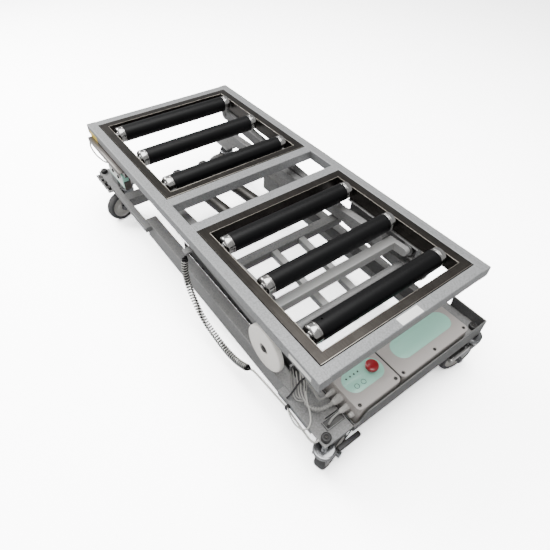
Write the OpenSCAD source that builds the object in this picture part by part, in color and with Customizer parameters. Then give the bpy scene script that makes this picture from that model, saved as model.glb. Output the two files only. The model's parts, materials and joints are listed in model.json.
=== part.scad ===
/* [Deck] */
// Length of the roller deck, end to end
deck_l = 1400; // [1300:10:1500]
// Width of the roller deck, side to side
deck_w = 640; // [600:10:680]
// Height of the deck's top face above the floor when lowered
deck_h = 405; // [400:1:420]
// Width and height of the deck's square tubes
deck_tube = 35; // [30:1:40]
// Width of the two cross members beside the middle opening
cross_w = 38; // [30:1:45]
// Length of the middle opening
mid_open = 114; // [90:2:140]
// Rounding along the edges of every tube
edge_r = 3; // [1:0.5:4]

/* [Roller frames] */
// Gap between a roller frame and the deck tubes
inset_gap = 1.5; // [1:0.5:3]
// Width of the roller frame's top flange
inset_flange = 28; // [22:1:32]
// Thickness of the roller frame's sheet
inset_t = 3; // [2:0.5:4]
// Depth of the roller frame's inner wall
inset_depth = 48; // [44:1:52]

/* [Rollers] */
// Diameter of the rollers over the black sleeve
roller_d = 60; // [50:1:64]
// Distance between neighbouring rollers
roller_pitch = 197; // [180:1:205]
// How far the rollers stand above the deck
roller_proud = 16; // [10:1:18]
// Wall of the roller sleeve
sleeve_wall = 4; // [3:0.5:6]
// Length of the bright end cap outside the sleeve
cap_l = 26; // [20:1:32]
// Diameter of the roller axles
axle_d = 12; // [10:1:14]

/* [Lift] */
// Distance between the two end pivots of one scissor arm
arm_len = 1070; // [1040:5:1090]
// Place of the fixed rear pivots, from the deck's middle
pivot_x = -600; // [-610:1:-590]
// Depth of the upper pivots below the deck's underside
pivot_drop = 42.7; // [41:0.1:44]
// Height of an arm's tube
arm_h = 44; // [40:1:46]
// Width of an arm's tube
arm_w = 28; // [24:1:30]
// Diameter of the arm pivots
pin_d = 20; // [16:1:22]
// Diameter of the white nylon wheels
disc_d = 150; // [146:1:152]
// Thickness of the white nylon wheels
disc_t = 18; // [14:1:20]
// Diameter of the small wheels in the deck's tracks
track_wheel_d = 44; // [40:1:46]

/* [Actuators] */
// Place of the actuators' rear pivots along the trolley
act_x = -500; // [-505:1:-495]
// Height of the actuators' rear pivots
act_z = 192; // [190:1:196]
// Distance of each actuator from the trolley's middle line
act_y = 62; // [58:1:70]
// Diameter of the actuators' pivot pins
clevis_d = 10; // [8:1:11]
// Diameter of the actuator's outer tube
act_tube_d = 44; // [38:1:46]
// Diameter of the actuator's rod
rod_d = 24; // [20:1:26]

/* [Chassis] */
// Height of the side rails' top above the floor
rail_top = 178; // [176:1:180]
// Height of the side rails' section
rail_h = 80; // [60:1:90]
// Width of the side rails' section
rail_w = 42; // [36:1:44]
// Distance of the side rails' outer face from the middle line
rail_y = 298; // [296:1:300]
// Rear end of the side rails
rail_x0 = -315; // [-340:5:-300]
// Front end of the side rails
rail_x1 = 600; // [590:5:604]
// Width of the narrow corner legs
leg_w = 24; // [20:1:28]
// Height of the narrow corner legs
leg_h = 21; // [18:1:22]
// Thickness of the caster plates
plate_t = 7; // [5:1:8]

/* [Casters] */
// Diameter of the caster wheels
wheel_d = 125; // [118:1:127]
// Width of the caster tyres
wheel_w = 34; // [30:1:36]
// Distance from the swivel axis to the wheel's axle
trail = 45; // [40:1:48]
// Distance of the front swivel axes from the deck's middle
swivel_front = 750; // [748:0.5:750]
// Distance of the rear swivel axes from the deck's middle
swivel_rear = -615; // [-620:1:-612]

/* [Control box] */
// Length of the control box's half
ctl_l = 161; // [156:1:166]
// Length of the battery's half
bat_l = 289; // [284:1:294]
// Width of both boxes
box_w = 147; // [140:1:150]
// Height of the boxes' lids above the floor
box_top = 230; // [226:1:234]
// Front face of the boxes, from the deck's middle
box_front = 753; // [750:1:756]
// Left end of the control box
box_left = -207; // [-209:1:-204]
// Diameter of the red stop button
stop_d = 38; // [34:1:42]

/* [Hand control] */
// Length of the hand control
hand_l = 140; // [120:5:150]
// Diameter of the coiled cord's lead
lead_d = 5; // [4:0.5:6]
// Outer diameter of the cord's curls
coil_d = 15; // [13:0.5:16]
// Number of curls
curls = 52; // [40:1:60]

/* [Hidden] */
$fn = 48;

// Clearances: a piece on its seat, a running fit and a push fit
seat = 0.3;
run_fit = 0.08;
push_fit = 0.2;

// The row's origin is on the floor below the middle of the whole trolley
shift_x = -28.955;
shift_y = 11.854;

// Deck
half_l = deck_l / 2;
half_w = deck_w / 2;
deck_under = deck_h - deck_tube;
open_y = half_w - deck_tube;
open_x0 = mid_open / 2 + cross_w;
open_x1 = half_l - deck_tube;
bay_x = (open_x0 + open_x1) / 2;
bay_l = open_x1 - open_x0;
window_y = open_y - inset_gap - inset_flange;
window_l = bay_l - 2 * (inset_gap + inset_flange);
axis_z = deck_h + roller_proud - roller_d / 2;
collar_d = axle_d + 8;
sleeve_half = window_y - cap_l - 7.5;
cap_end = sleeve_half + cap_l;
roller_x = [for (side = [-1, 1]) for (k = [-1, 0, 1]) side * bay_x + k * roller_pitch];

// Scissor arms: A rises to the front, B rises to the rear, B lies outside A
low_z = rail_top + seat + disc_d / 2;
high_z = deck_under - pivot_drop;
axle_rise = high_z - low_z;
lift_deg = 36;
tilt = asin(axle_rise / arm_len);
axle_x = pivot_x + arm_len * cos(tilt);
mid_x = (pivot_x + axle_x) / 2;
mid_z = (low_z + high_z) / 2;
arm_gap = 6;
arm_b_out = rail_y - 24;
arm_b_in = arm_b_out - arm_w;
arm_a_out = arm_b_in - arm_gap;
arm_a_in = arm_a_out - arm_w;
bar_x = axle_x - 54;
bar_w = 34;
bar_h = 30;
boss_d = 88;
boss_y = arm_b_out + 12;
disc_in = boss_y + 2;
disc_out = disc_in + disc_t;
disc_pin_d = 16;
fork_w = 18;
fork_out = arm_a_out + 10;
bar_end = 25;
track_pin_d = 12;
track_w = 18;
track_web = fork_out + 1 + track_w + 2;
track_t = 3;
cross_x = 168;
cross_h = 34;
lift_tube_x = 70;
lift_tube_d = 38;
eye_drop = 35;
eye_back = 30;

// Actuators
eye_x = lift_tube_x - eye_back;
eye_z = arm_a_z(lift_tube_x) - eye_drop;
act_len = norm([eye_x - act_x, eye_z - act_z]);
act_tilt = atan2(eye_z - act_z, eye_x - act_x);
eye_d = 36;
eye_hole = clevis_d + 11;
eye_w = 20;
lug_t = 5;
act_tube_end = act_len - 110;

// Chassis
rail_in = rail_y - rail_w;
leg_out = rail_y + leg_w;
leg_z = rail_top - leg_h;
plate_z = rail_top - plate_t;
rear_end = -720;
front_end = 763;
plate_rear = [-690, -560];
swivel_rear_y = 255;
swivel_front_y = 312;
cross_tube_w = 50;
cross_tube_h = 40;
cross_tube_z = 130;
front_tube_w = 44;
plate_in_y = 224;
lead_slot = [698, 724];
lead_slot_y = 270;
knob_block = 58;
apron_t = 4;
apron_x = front_end - apron_t;
apron_top = box_top - 14;
tray_t = 3;
tray_z = box_top - 75 - tray_t;
tray_left = box_left - 6;
tray_right = box_left + ctl_l + bat_l + 3 + 8;
knob_d = 28;

// Casters, each with its swivel axis and the way its wheel trails
head_d = 52;
head_h = 18;
neck_d = 16;
crown_z = wheel_d + 1;
crown_t = 4;
fork_t = 3;
fork_in = wheel_w / 2 + 3;
fork_pin_d = 12;
hub_z = wheel_d / 2;
king_d = 10;
head_top = crown_z + crown_t + head_h;
casters = [[swivel_front, -swivel_front_y, 105], [swivel_front, swivel_front_y, -100],
    [swivel_rear, -swivel_rear_y, -75], [swivel_rear, swivel_rear_y, -95]];
pedal_x = 14;
pedal_z = wheel_d - 10;
pedal_pin_d = 8;
pedal_t = 2.5;

// Control box
box_back = box_front - box_w;
box_base = tray_z + tray_t;
box_r = 14;
box_gap = 3;
ctl_end = box_left + ctl_l;
bat_left = ctl_end + box_gap;
bat_end = bat_left + bat_l;
stop_x = 679;
stop_y = -94;
stop_stem_d = 14;
stop_travel = 4;
stop_hole = 30;
stop_stem = 22;
plug_y = box_left - 30;

// Hand control in its cradle below the deck
hand_x0 = -540;
hand_z0 = deck_under - 93;
hand_h = 62;
hand_t = 24;
hand_y = -322;
button_d = 14;
button_travel = 2;
holder_t = 3;

// Cord routes: the curled part, its straight tail, the hand control's lead, the box's leads
coil_low = 94;
coil_drop = deck_under - 40 - coil_low;
coil_route = [[90, -324, coil_low + coil_drop], [90, -324, coil_low + 0.95 * coil_drop],
    [89, -328, coil_low + 0.84 * coil_drop], [94, -334, coil_low + 0.69 * coil_drop],
    [106, -339, coil_low + 0.51 * coil_drop], [132, -342, coil_low + 0.33 * coil_drop],
    [166, -342, coil_low + 0.18 * coil_drop], [212, -342, 112], [264, -341, 98],
    [318, -340, coil_low], [368, -338, 101], [408, -335, 118], [430, -333, 132], [446, -332, 142]];
tail_route = [[446, -332, 142], [456, -331, 148], [480, -330, 152], [528, -330, 160],
    [588, -329, 168], [612, -329, 170], [650, -328, 169], [690, -328, 168], [712, -332, 170],
    [726, -333, 173], [730, -330, 174.5], [730, -326, 174.5], [730, -322, 174.5]];
hand_route = [[-540, -310, deck_under - 66], [-552, -310, deck_under - 66],
    [-590, -322, deck_under - 72], [-640, -332, deck_under - 64],
    [-676, -334, deck_under - 44], [-690, -324, deck_under - 26],
    [-692, -310, deck_under - 14], [-690, -305, deck_under - 7], [-690, -305, deck_under]];
box_routes = [[[704, -237, 204], [704, -250, 204], [696, -262, 202], [664, -268, 196],
        [620, -258, 190], [580, -246, 184], [540, -240, 180], [532, -240, 180]],
    [[672, -237, 200], [672, -248, 200], [660, -255, 198], [624, -244, 194],
        [580, -234, 190], [540, -228, 188], [532, -228, 188]],
    [[732, -237, 196], [732, -250, 196], [722, -261, 194], [700, -268, 189],
        [687, -270, 184], [686, -270, 178.6]]];
lead_sides = 8;
coil_sides = 6;
coil_rings = 8;
coil_r = (coil_d - lead_d) / 2;
joint_way = unit([10, 1, 6]);

function unit(v) = v / norm(v);
function arm_a_z(x) = low_z + (x - pivot_x) * tan(tilt);

// A smooth curve through the points p, at t between 0 and the last index
function spline(p, t) =
    let (n = len(p) - 1, i = min(floor(t), n - 1), u = t - i)
    let (a = p[max(i - 1, 0)], b = p[i], c = p[i + 1], d = p[min(i + 2, n)])
    b + u * ((c - a) / 2 + u * ((a - 2.5 * b + 2 * c - d / 2) + u * (3 * b - a - 3 * c + d) / 2));

// Running length at each point of p
function lengths(p) =
    [for (i = 0, s = 0; i < len(p); i = i + 1, s = s + norm(p[min(i, len(p) - 1)] - p[i - 1])) s];

// The route p sampled at n steps, each with its length from the start
function measured(p, n) =
    let (pts = [for (i = [0 : n]) spline(p, (len(p) - 1) * i / n)], s = lengths(pts))
    [for (i = [0 : n]) [s[i], (len(p) - 1) * i / n]];

function tangent(p, i) = unit(p[min(i + 1, len(p) - 1)] - p[max(i - 1, 0)]);
function ring(c, t, ref, r, n) =
    let (v = unit(ref - t * (ref * t)), w = cross(t, v))
    [for (k = [0 : n - 1]) c + r * (cos(360 * k / n) * v + sin(360 * k / n) * w)];

// Curled cord: out from its gland, round and round the route, and straight again
coil_table = measured(coil_route, 260);
coil_len = coil_table[len(coil_table) - 1][0];
function on_coil(s) = spline(coil_route, lookup(s, coil_table));
function coil_way(s) = unit(on_coil(min(s + 1, coil_len)) - on_coil(max(s - 1, 0)));
function ease(x) = x >= 1 ? 1 : x * x * (3 - 2 * x);
function coil_out(f) =
    let (t = coil_way(lead_d + f * (coil_len - 2 * lead_d)))
    let (v = unit([0, 1, 0] - t * t[1]), w = cross(t, v))
    cos(360 * curls * f) * v + sin(360 * curls * f) * w;
function coil_point(f) =
    on_coil(lead_d + f * (coil_len - 2 * lead_d))
        + coil_r * ease(min(f, 1 - f) * curls) * coil_out(f);
coil_first = coil_route[0];
coil_last = coil_route[len(coil_route) - 1];
coil_path = concat([coil_first, coil_first - [0, 0, lead_d]],
    [for (i = [1 : curls * coil_rings - 1]) coil_point(i / (curls * coil_rings))],
    [coil_last - joint_way * lead_d, coil_last]);
coil_refs = concat([[0, 1, 0], [0, 1, 0]],
    [for (i = [1 : curls * coil_rings - 1]) coil_out(i / (curls * coil_rings))],
    [[0, 1, 0], [0, 1, 0]]);
coil_gap = min([for (i = [0 : len(coil_path) - 1])
    for (j = [i + 5 : min(i + 40, len(coil_path) - 1)]) norm(coil_path[i] - coil_path[j])])
    - lead_d;
echo(coil_gap = coil_gap, coil_len = coil_len);

// Everything stands in one shared place
module place()
    translate([shift_x, shift_y, 0])
        children();

module both_sides() {
    children();
    mirror([0, 1, 0])
        children();
}

module rounded(w, h, r) {
    square([w - 2 * r, h], center = true);
    square([w, h - 2 * r], center = true);
    for (x = [-1, 1])
        for (y = [-1, 1])
            translate([x * (w / 2 - r), y * (h / 2 - r)])
                circle(r, $fn = 24);
}

module bar_x(x, y, z, r = edge_r)
    translate([x[0], (y[0] + y[1]) / 2, (z[0] + z[1]) / 2])
        rotate([90, 0, 90])
            linear_extrude(x[1] - x[0])
                rounded(y[1] - y[0], z[1] - z[0], r);

module bar_y(x, y, z, r = edge_r)
    translate([(x[0] + x[1]) / 2, y[1], (z[0] + z[1]) / 2])
        rotate([90, 0, 0])
            linear_extrude(y[1] - y[0])
                rounded(x[1] - x[0], z[1] - z[0], r);

module bar_z(x, y, z, r = edge_r)
    translate([(x[0] + x[1]) / 2, (y[0] + y[1]) / 2, z[0]])
        linear_extrude(z[1] - z[0])
            rounded(x[1] - x[0], y[1] - y[0], r);

module block(x, y, z)
    translate([x[0], y[0], z[0]])
        cube([x[1] - x[0], y[1] - y[0], z[1] - z[0]]);

module rod_y(x, z, d, y)
    translate([x, y[1], z])
        rotate([90, 0, 0])
            cylinder(h = y[1] - y[0], d = d);

// A round bar along Y with both edges broken by c
module turned_y(x, z, d, y, c)
    translate([x, y[1], z])
        rotate([90, 0, 0]) {
            cylinder(h = c, d1 = d - 2 * c, d2 = d);
            translate([0, 0, c])
                cylinder(h = y[1] - y[0] - 2 * c, d = d);
            translate([0, 0, y[1] - y[0] - c])
                cylinder(h = c, d1 = d, d2 = d - 2 * c);
        }

module rod_z(x, y, d, z)
    translate([x, y, z[0]])
        cylinder(h = z[1] - z[0], d = d);

module rod_x(y, z, d, x)
    translate([x[0], y, z])
        rotate([0, 90, 0])
            cylinder(h = x[1] - x[0], d = d);

// A plate lying in the XZ plane between two Y values
module plate_y(points, y)
    translate([0, y[1], 0])
        rotate([90, 0, 0])
            linear_extrude(y[1] - y[0])
                polygon(points);

module plate_x(points, x)
    translate([x[0], 0, 0])
        rotate([90, 0, 90])
            linear_extrude(x[1] - x[0])
                polygon(points);

module on_arm_a()
    translate([pivot_x, 0, low_z])
        rotate([0, -tilt, 0])
            children();

module on_arm_b()
    translate([pivot_x, 0, high_z])
        rotate([0, tilt, 0])
            children();

module on_actuator(side)
    translate([act_x, side * act_y, act_z])
        rotate([0, -act_tilt, 0])
            children();

module on_caster(i)
    translate([casters[i][0], casters[i][1], 0])
        rotate([0, 0, casters[i][2]])
            children();

module tube(path, refs, r, n) {
    m = len(path);
    polyhedron(
        [for (i = [0 : m - 1]) each ring(path[i], tangent(path, i), refs[i], r, n)],
        concat([[for (k = [0 : n - 1]) k]],
            [[for (k = [0 : n - 1]) m * n - 1 - k]],
            [for (i = [0 : m - 2]) for (k = [0 : n - 1])
                [(i + 1) * n + k, (i + 1) * n + (k + 1) % n, i * n + (k + 1) % n]],
            [for (i = [0 : m - 2]) for (k = [0 : n - 1])
                [(i + 1) * n + k, i * n + (k + 1) % n, i * n + k]]));
}

// A plain lead along a route, with straight first and last pieces
module lead(route, n, d, up) {
    t = measured(route, n * 6);
    s = t[len(t) - 1][0];
    path = concat([route[0], route[0] + d * unit(route[1] - route[0])],
        [for (i = [1 : n - 1]) spline(route, lookup(d + (s - 2 * d) * i / n, t))],
        [route[len(route) - 1] - d * unit(route[len(route) - 1] - route[len(route) - 2]),
            route[len(route) - 1]]);
    tube(path, [for (p = path) up], d / 2, lead_sides);
}

module deck_side_tubes()
    color("silver")
        place()
            both_sides()
                bar_x([-half_l, half_l], [open_y, half_w], [deck_under, deck_h]);

ledge = 16;
ledge_y = [90, 150];

module deck_cross_tubes()
    color("silver")
        place()
            for (side = [-1, 1])
                mirror([side < 0 ? 1 : 0, 0, 0]) {
                    cross_member(open_x1, half_l, -1);
                    cross_member(mid_open / 2, open_x0, 1);
                }

// One cross member with the two tabs that carry a roller frame
module cross_member(x0, x1, way) {
    bar_y([x0, x1], [-open_y, open_y], [deck_under, deck_h]);
    both_sides()
        block(way < 0 ? [x0 - ledge, x0 + edge_r] : [x1 - edge_r, x1 + ledge],
            ledge_y, [deck_h - inset_t - 5, deck_h - inset_t]);
}

module roller_frame(side)
    place()
        difference() {
            union() {
                translate([side * bay_x, 0, deck_h - inset_t / 2])
                    cube([bay_l - 2 * inset_gap, 2 * (open_y - inset_gap), inset_t],
                        center = true);
                translate([side * bay_x, 0, deck_h - inset_depth / 2])
                    cube([window_l + 2 * inset_t, 2 * (window_y + inset_t), inset_depth],
                        center = true);
            }
            translate([side * bay_x, 0, deck_h])
                cube([window_l, 2 * window_y, 3 * inset_depth], center = true);
            for (k = [-1, 0, 1])
                rod_y(side * bay_x + k * roller_pitch, axis_z, axle_d + 2 * run_fit,
                    [-open_y, open_y]);
        }

module roller_frame_rear()
    color("dimgray")
        roller_frame(-1);

module roller_frame_front()
    color("dimgray")
        roller_frame(1);

module roller_axles()
    color("gainsboro")
        place()
            for (x = roller_x) {
                rod_y(x, axis_z, axle_d, [-window_y - inset_t - 1, window_y + inset_t + 1]);
                both_sides()
                    rod_y(x, axis_z, collar_d, [cap_end + seat, window_y]);
                both_sides()
                    turned_y(x, axis_z, collar_d,
                        [window_y + inset_t, window_y + inset_t + 6], 1);
            }

module roller_sleeve(i)
    color("black")
        place()
            difference() {
                turned_y(roller_x[i], axis_z, roller_d, [-sleeve_half, sleeve_half], 1);
                rod_y(roller_x[i], axis_z, roller_d - 2 * sleeve_wall,
                    [-sleeve_half - 1, sleeve_half + 1]);
                if (i == 5)
                    translate([roller_x[i], -sleeve_half + 20, axis_z])
                        rotate([0, -14, 0])
                            cylinder(h = roller_d, d = 7);
            }

module roller_sleeve_1() roller_sleeve(0);
module roller_sleeve_2() roller_sleeve(1);
module roller_sleeve_3() roller_sleeve(2);
module roller_sleeve_4() roller_sleeve(3);
module roller_sleeve_5() roller_sleeve(4);
module roller_sleeve_6() roller_sleeve(5);

spigot_l = 20;
cap_d = roller_d - 2;

// Turned end caps with a shallow bearing face, pushed into the sleeve
module roller_caps(i)
    color("lightgray")
        place()
            both_sides()
                difference() {
                    union() {
                        turned_y(roller_x[i], axis_z, cap_d, [sleeve_half, cap_end], 2);
                        rod_y(roller_x[i], axis_z, roller_d - 2 * sleeve_wall - 2 * run_fit,
                            [sleeve_half - spigot_l, sleeve_half + 1]);
                    }
                    rod_y(roller_x[i], axis_z, axle_d + 2 * run_fit, [0, window_y]);
                    rod_y(roller_x[i], axis_z, cap_d - 14, [cap_end - 2, window_y]);
                    rod_y(roller_x[i], axis_z, cap_d - 24, [cap_end - 4, window_y]);
                }

module roller_caps_1() roller_caps(0);
module roller_caps_2() roller_caps(1);
module roller_caps_3() roller_caps(2);
module roller_caps_4() roller_caps(3);
module roller_caps_5() roller_caps(4);
module roller_caps_6() roller_caps(5);

hanger_y = arm_b_out + 2;
hanger_t = 8;
hanger_w = 70;
flange_out = 300;
track_x0 = pivot_x + arm_len * cos(tilt + lift_deg) - track_wheel_d / 2 - 8;
track_x1 = axle_x + track_wheel_d / 2 + 16;
track_low = high_z - track_wheel_d / 2 - seat;
track_high = high_z + track_wheel_d / 2 + seat;

// Below the deck: the rear pivot plates and the two tracks for the upper wheels
module deck_hangers()
    color("darkgray")
        place()
            both_sides() {
                plate_y([[pivot_x - 20, high_z - 22], [pivot_x + 20, high_z - 22],
                    [pivot_x + hanger_w / 2, high_z], [pivot_x + hanger_w / 2, deck_under],
                    [pivot_x - hanger_w / 2, deck_under], [pivot_x - hanger_w / 2, high_z]],
                    [hanger_y, hanger_y + hanger_t]);
                block([pivot_x - hanger_w / 2, pivot_x + hanger_w / 2],
                    [hanger_y, flange_out], [deck_under - 6, deck_under]);
                rod_y(pivot_x, high_z, pin_d, [arm_b_in - 3, hanger_y + 1]);
                track();
            }

module track() {
    block([track_x0, track_x1], [track_web, track_web + track_t],
        [track_low - track_t, deck_under]);
    block([track_x0, track_x1], [fork_out + 1, track_web + 1], [track_low - track_t, track_low]);
    block([track_x0, track_x1], [fork_out + 1, track_web + 1],
        [track_high, track_high + track_t]);
    block([track_x0, track_x1], [track_web, flange_out], [deck_under - track_t, deck_under]);
    block([track_x1 - track_t, track_x1], [fork_out + 1, track_web + 1], [track_low, track_high]);
}

holder_x0 = -682;
holder_x1 = -371;
holder_y = [-318, -302];
holder_z = deck_under - 28;
cradle_y = hand_y + hand_t;

// Folded holder under the deck's left side, with the hand control's cradle
module hand_holder()
    color("dimgray")
        place() {
            block([holder_x0, holder_x1], [holder_y[0], holder_y[0] + holder_t],
                [holder_z, deck_under]);
            block([holder_x0, holder_x1], holder_y, [deck_under - holder_t, deck_under]);
            block([holder_x0, holder_x0 + holder_t], holder_y, [holder_z, deck_under]);
            block([holder_x1 - holder_t, holder_x1], holder_y, [holder_z, deck_under]);
            block([hand_x0 - holder_t, hand_x0 + hand_l + holder_t],
                [cradle_y, cradle_y + holder_t], [hand_z0 - holder_t, deck_under]);
            block([hand_x0 - holder_t, hand_x0 + hand_l + holder_t],
                [holder_y[0], cradle_y + holder_t], [deck_under - holder_t, deck_under]);
            block([hand_x0 - holder_t, hand_x0 + hand_l + holder_t],
                [hand_y + 2, cradle_y + holder_t], [hand_z0 - holder_t, hand_z0]);
            block([hand_x0 + hand_l, hand_x0 + hand_l + holder_t],
                [hand_y + 2, cradle_y + holder_t], [hand_z0 - holder_t, hand_z0 + 30]);
            block([hand_x0 - holder_t, hand_x0], [hand_y + 2, cradle_y + holder_t],
                [hand_z0 - holder_t, hand_z0 + 16]);
        }

button_x = [hand_x0 + 45, hand_x0 + 95];
button_z = hand_z0 + hand_h / 2;

module hand_control()
    color("aquamarine")
        place()
            difference() {
                bar_y([hand_x0, hand_x0 + hand_l], [hand_y, cradle_y],
                    [hand_z0, hand_z0 + hand_h], 9);
                for (x = button_x)
                    rod_y(x, button_z, button_d + 2 * run_fit, [hand_y - 1, hand_y + 12]);
            }

module hand_button(x)
    color("white")
        place()
            turned_y(x, button_z, button_d, [hand_y - 3, hand_y + 9], 0.8);

module hand_button_up() hand_button(button_x[0]);
module hand_button_down() hand_button(button_x[1]);

module hand_lead()
    color("whitesmoke")
        place()
            lead(hand_route, 22, lead_d, [0, 1, 0]);

bar_local = arm_len - 54;

// Inner arms with the centre pins that the outer arms turn on
module arm_a_tubes()
    color("silver")
        place()
            on_arm_a()
                both_sides() {
                    difference() {
                        union() {
                            bar_x([0, bar_local - bar_w / 2], [arm_a_in, arm_a_out],
                                [-arm_h / 2, arm_h / 2]);
                            rod_y(0, 0, arm_h, [arm_a_in, arm_a_out]);
                        }
                        rod_y(0, 0, pin_d + 2 * run_fit, [arm_a_in - 1, arm_a_out + 1]);
                    }
                    rod_y(arm_len / 2, 0, pin_d, [arm_a_out - 1, arm_b_out + 4]);
                    rod_y(arm_len / 2, 0, pin_d + 10, [arm_b_out + seat, arm_b_out + 5]);
                }

lift_tube_l = (lift_tube_x - pivot_x) / cos(tilt);

// Cross tube of the inner arms, with the lugs and pins that the rods push on
module arm_a_cross_tubes()
    color("silver")
        place() {
            on_arm_a()
                rod_y(lift_tube_l, 0, lift_tube_d, [-arm_a_in, arm_a_in]);
            for (side = [-1, 1])
                for (way = [-1, 1])
                    eye_lug(side * act_y + way * (eye_w / 2 + 0.5), way);
            for (side = [-1, 1])
                rod_y(eye_x, eye_z, clevis_d,
                    [side * act_y - eye_w / 2 - lug_t, side * act_y + eye_w / 2 + lug_t]);
        }

module eye_lug(y, way)
    translate([0, way < 0 ? y - lug_t : y, 0]) {
        rod_y(eye_x, eye_z, 24, [0, lug_t]);
        plate_y([[eye_x - 12, eye_z], [eye_x + 6, eye_z - 11],
            [lift_tube_x + 12, arm_a_z(lift_tube_x) - 12],
            [lift_tube_x - 6, arm_a_z(lift_tube_x) + 16]], [0, lug_t]);
    }

// Front bar of the inner arms, with the forks and stub axles of the upper wheels
module arm_a_forks()
    color("lightgray")
        place()
            on_arm_a() {
                bar_y([bar_local - bar_w / 2, bar_local + bar_w / 2], [-fork_out, fork_out],
                    [-bar_h / 2, bar_h / 2]);
                rod_y(bar_local, 0, bar_w - 1, [-fork_out, -fork_out + bar_end]);
                both_sides() {
                    block([bar_local, arm_len], [fork_out - fork_w, fork_out],
                        [-bar_h / 2, bar_h / 2]);
                    rod_y(arm_len, 0, bar_h, [fork_out - fork_w, fork_out]);
                    rod_y(arm_len, 0, track_pin_d, [fork_out - 1, fork_out + 1.3 + track_w]);
                }
            }

module arm_b_tubes()
    color("darkgray")
        place()
            on_arm_b()
                both_sides() {
                    difference() {
                        union() {
                            bar_x([0, arm_len], [arm_b_in, arm_b_out], [-arm_h / 2, arm_h / 2]);
                            rod_y(0, 0, arm_h, [arm_b_in, arm_b_out]);
                            rod_y(arm_len, 0, arm_h, [arm_b_in, arm_b_out]);
                        }
                        rod_y(0, 0, pin_d + 2 * run_fit, [arm_b_in - 1, arm_b_out + 1]);
                        rod_y(arm_len / 2, 0, pin_d + 2 * run_fit,
                            [arm_b_in - 1, arm_b_out + 1]);
                    }
                    turned_y(arm_len, 0, boss_d, [arm_b_out - 1, boss_y], 2);
                    rod_y(arm_len, 0, disc_pin_d, [boss_y - 1, disc_out - 3]);
                    rod_y(arm_len, 0, disc_pin_d + 10, [disc_out - 6, disc_out - 2]);
                }

cross_local = (cross_x - pivot_x) / cos(tilt);
cross_drop = 14;
axle_tube_d = 38;

module arm_b_cross_tubes()
    color("dimgray")
        place()
            on_arm_b() {
                bar_y([cross_local - cross_h / 2, cross_local + cross_h / 2],
                    [-arm_b_in, arm_b_in], [-cross_drop - cross_h / 2, -cross_drop + cross_h / 2]);
                rod_y(arm_len, 0, axle_tube_d, [-arm_b_in, arm_b_in]);
            }

spar_y = 57;
spar_w = 24;

// Light spars between the two cross tubes of the outer arms
module arm_b_spars()
    color("gainsboro")
        place()
            on_arm_b()
                both_sides()
                    difference() {
                        bar_x([cross_local + cross_h / 2, arm_len],
                            [spar_y - spar_w / 2, spar_y + spar_w / 2],
                            [-cross_drop - 12, -cross_drop + 14]);
                        rod_y(arm_len, 0, axle_tube_d, [0, arm_b_in]);
                    }

module nylon_wheel()
    place()
        on_arm_b()
            difference() {
                turned_y(arm_len, 0, disc_d, [disc_in, disc_out], 2);
                rod_y(arm_len, 0, disc_pin_d + 2 * run_fit, [disc_in - 1, disc_out + 1]);
                rod_y(arm_len, 0, disc_pin_d + 18, [disc_out - 6 - seat, disc_out + 1]);
            }

module nylon_wheel_left()
    color("ivory")
        mirrored_wheel()
            nylon_wheel();

module nylon_wheel_right()
    color("ivory")
        nylon_wheel();

// The left wheels are the right ones mirrored over the trolley's middle plane
module mirrored_wheel()
    translate([0, 2 * shift_y, 0])
        mirror([0, 1, 0])
            children();

module track_wheel()
    place()
        on_arm_a()
            difference() {
                turned_y(arm_len, 0, track_wheel_d, [fork_out + 1, fork_out + 1 + track_w], 1);
                rod_y(arm_len, 0, track_pin_d + 2 * run_fit, [fork_out, track_web + 1]);
            }

module track_wheel_left()
    color("dimgray")
        mirrored_wheel()
            track_wheel();

module track_wheel_right()
    color("dimgray")
        track_wheel();

bracket_z = [coil_route[0][2] + 7, coil_route[0][2] + 15];
foot_local = (coil_route[0][0] - pivot_x) / cos(tilt);
foot_top = ((bracket_z[0] + bracket_z[1]) / 2 - arm_a_z(coil_route[0][0])) * cos(tilt);

// Outrigger on the left inner arm that holds the curled cord's upper end
module cord_bracket()
    color("gray")
        place() {
            on_arm_a()
                block([foot_local - 14, foot_local + 14], [-arm_a_out, -arm_a_in],
                    [arm_h / 2, foot_top]);
            bar_z([coil_route[0][0] - 12, coil_route[0][0] + 12],
                [coil_route[0][1] - 10, -arm_a_in], bracket_z);
            rod_z(coil_route[0][0], coil_route[0][1], lead_d + 6,
                [coil_route[0][2], bracket_z[0] + 1]);
        }

module coil_cord()
    color("whitesmoke")
        place()
            tube(coil_path, coil_refs, lead_d / 2, coil_sides);

module cord_tail()
    color("whitesmoke")
        place()
            lead(tail_route, 34, lead_d, [0, 0, 1]);

module box_leads()
    color("gray")
        place() {
            lead(box_routes[0], 18, 10, [0, 0, 1]);
            lead(box_routes[1], 16, 6, [0, 0, 1]);
            lead(box_routes[2], 8, 6, [1, 0, 0]);
        }

gear_x = [30, 70];
motor_side = 44;
motor_d = 40;
motor_l = 105;
motor_cap = 7;
bore_start = 100;
rod_start = 160;
housing_bore = rod_d + 2 * run_fit;

module actuator_housings()
    color("lightgray")
        place()
            for (side = [-1, 1])
                on_actuator(side)
                    difference() {
                        union() {
                            rod_y(0, 0, eye_d - 6, [-eye_w / 2, eye_w / 2]);
                            rod_x(0, 0, eye_w, [0, gear_x[0] + 2]);
                            bar_x(gear_x, [-motor_side - motor_d / 2, act_tube_d / 2 + 2],
                                [-act_tube_d / 2 - 1, act_tube_d / 2 + 1], 4);
                            rod_x(0, 0, act_tube_d, [gear_x[1] - 1, act_tube_end]);
                            rod_x(0, 0, act_tube_d + 5, [act_tube_end - 14, act_tube_end]);
                        }
                        rod_y(0, 0, clevis_d + 2 * run_fit, [-eye_w, eye_w]);
                        rod_x(0, 0, housing_bore, [bore_start, act_tube_end + 1]);
                    }

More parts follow.
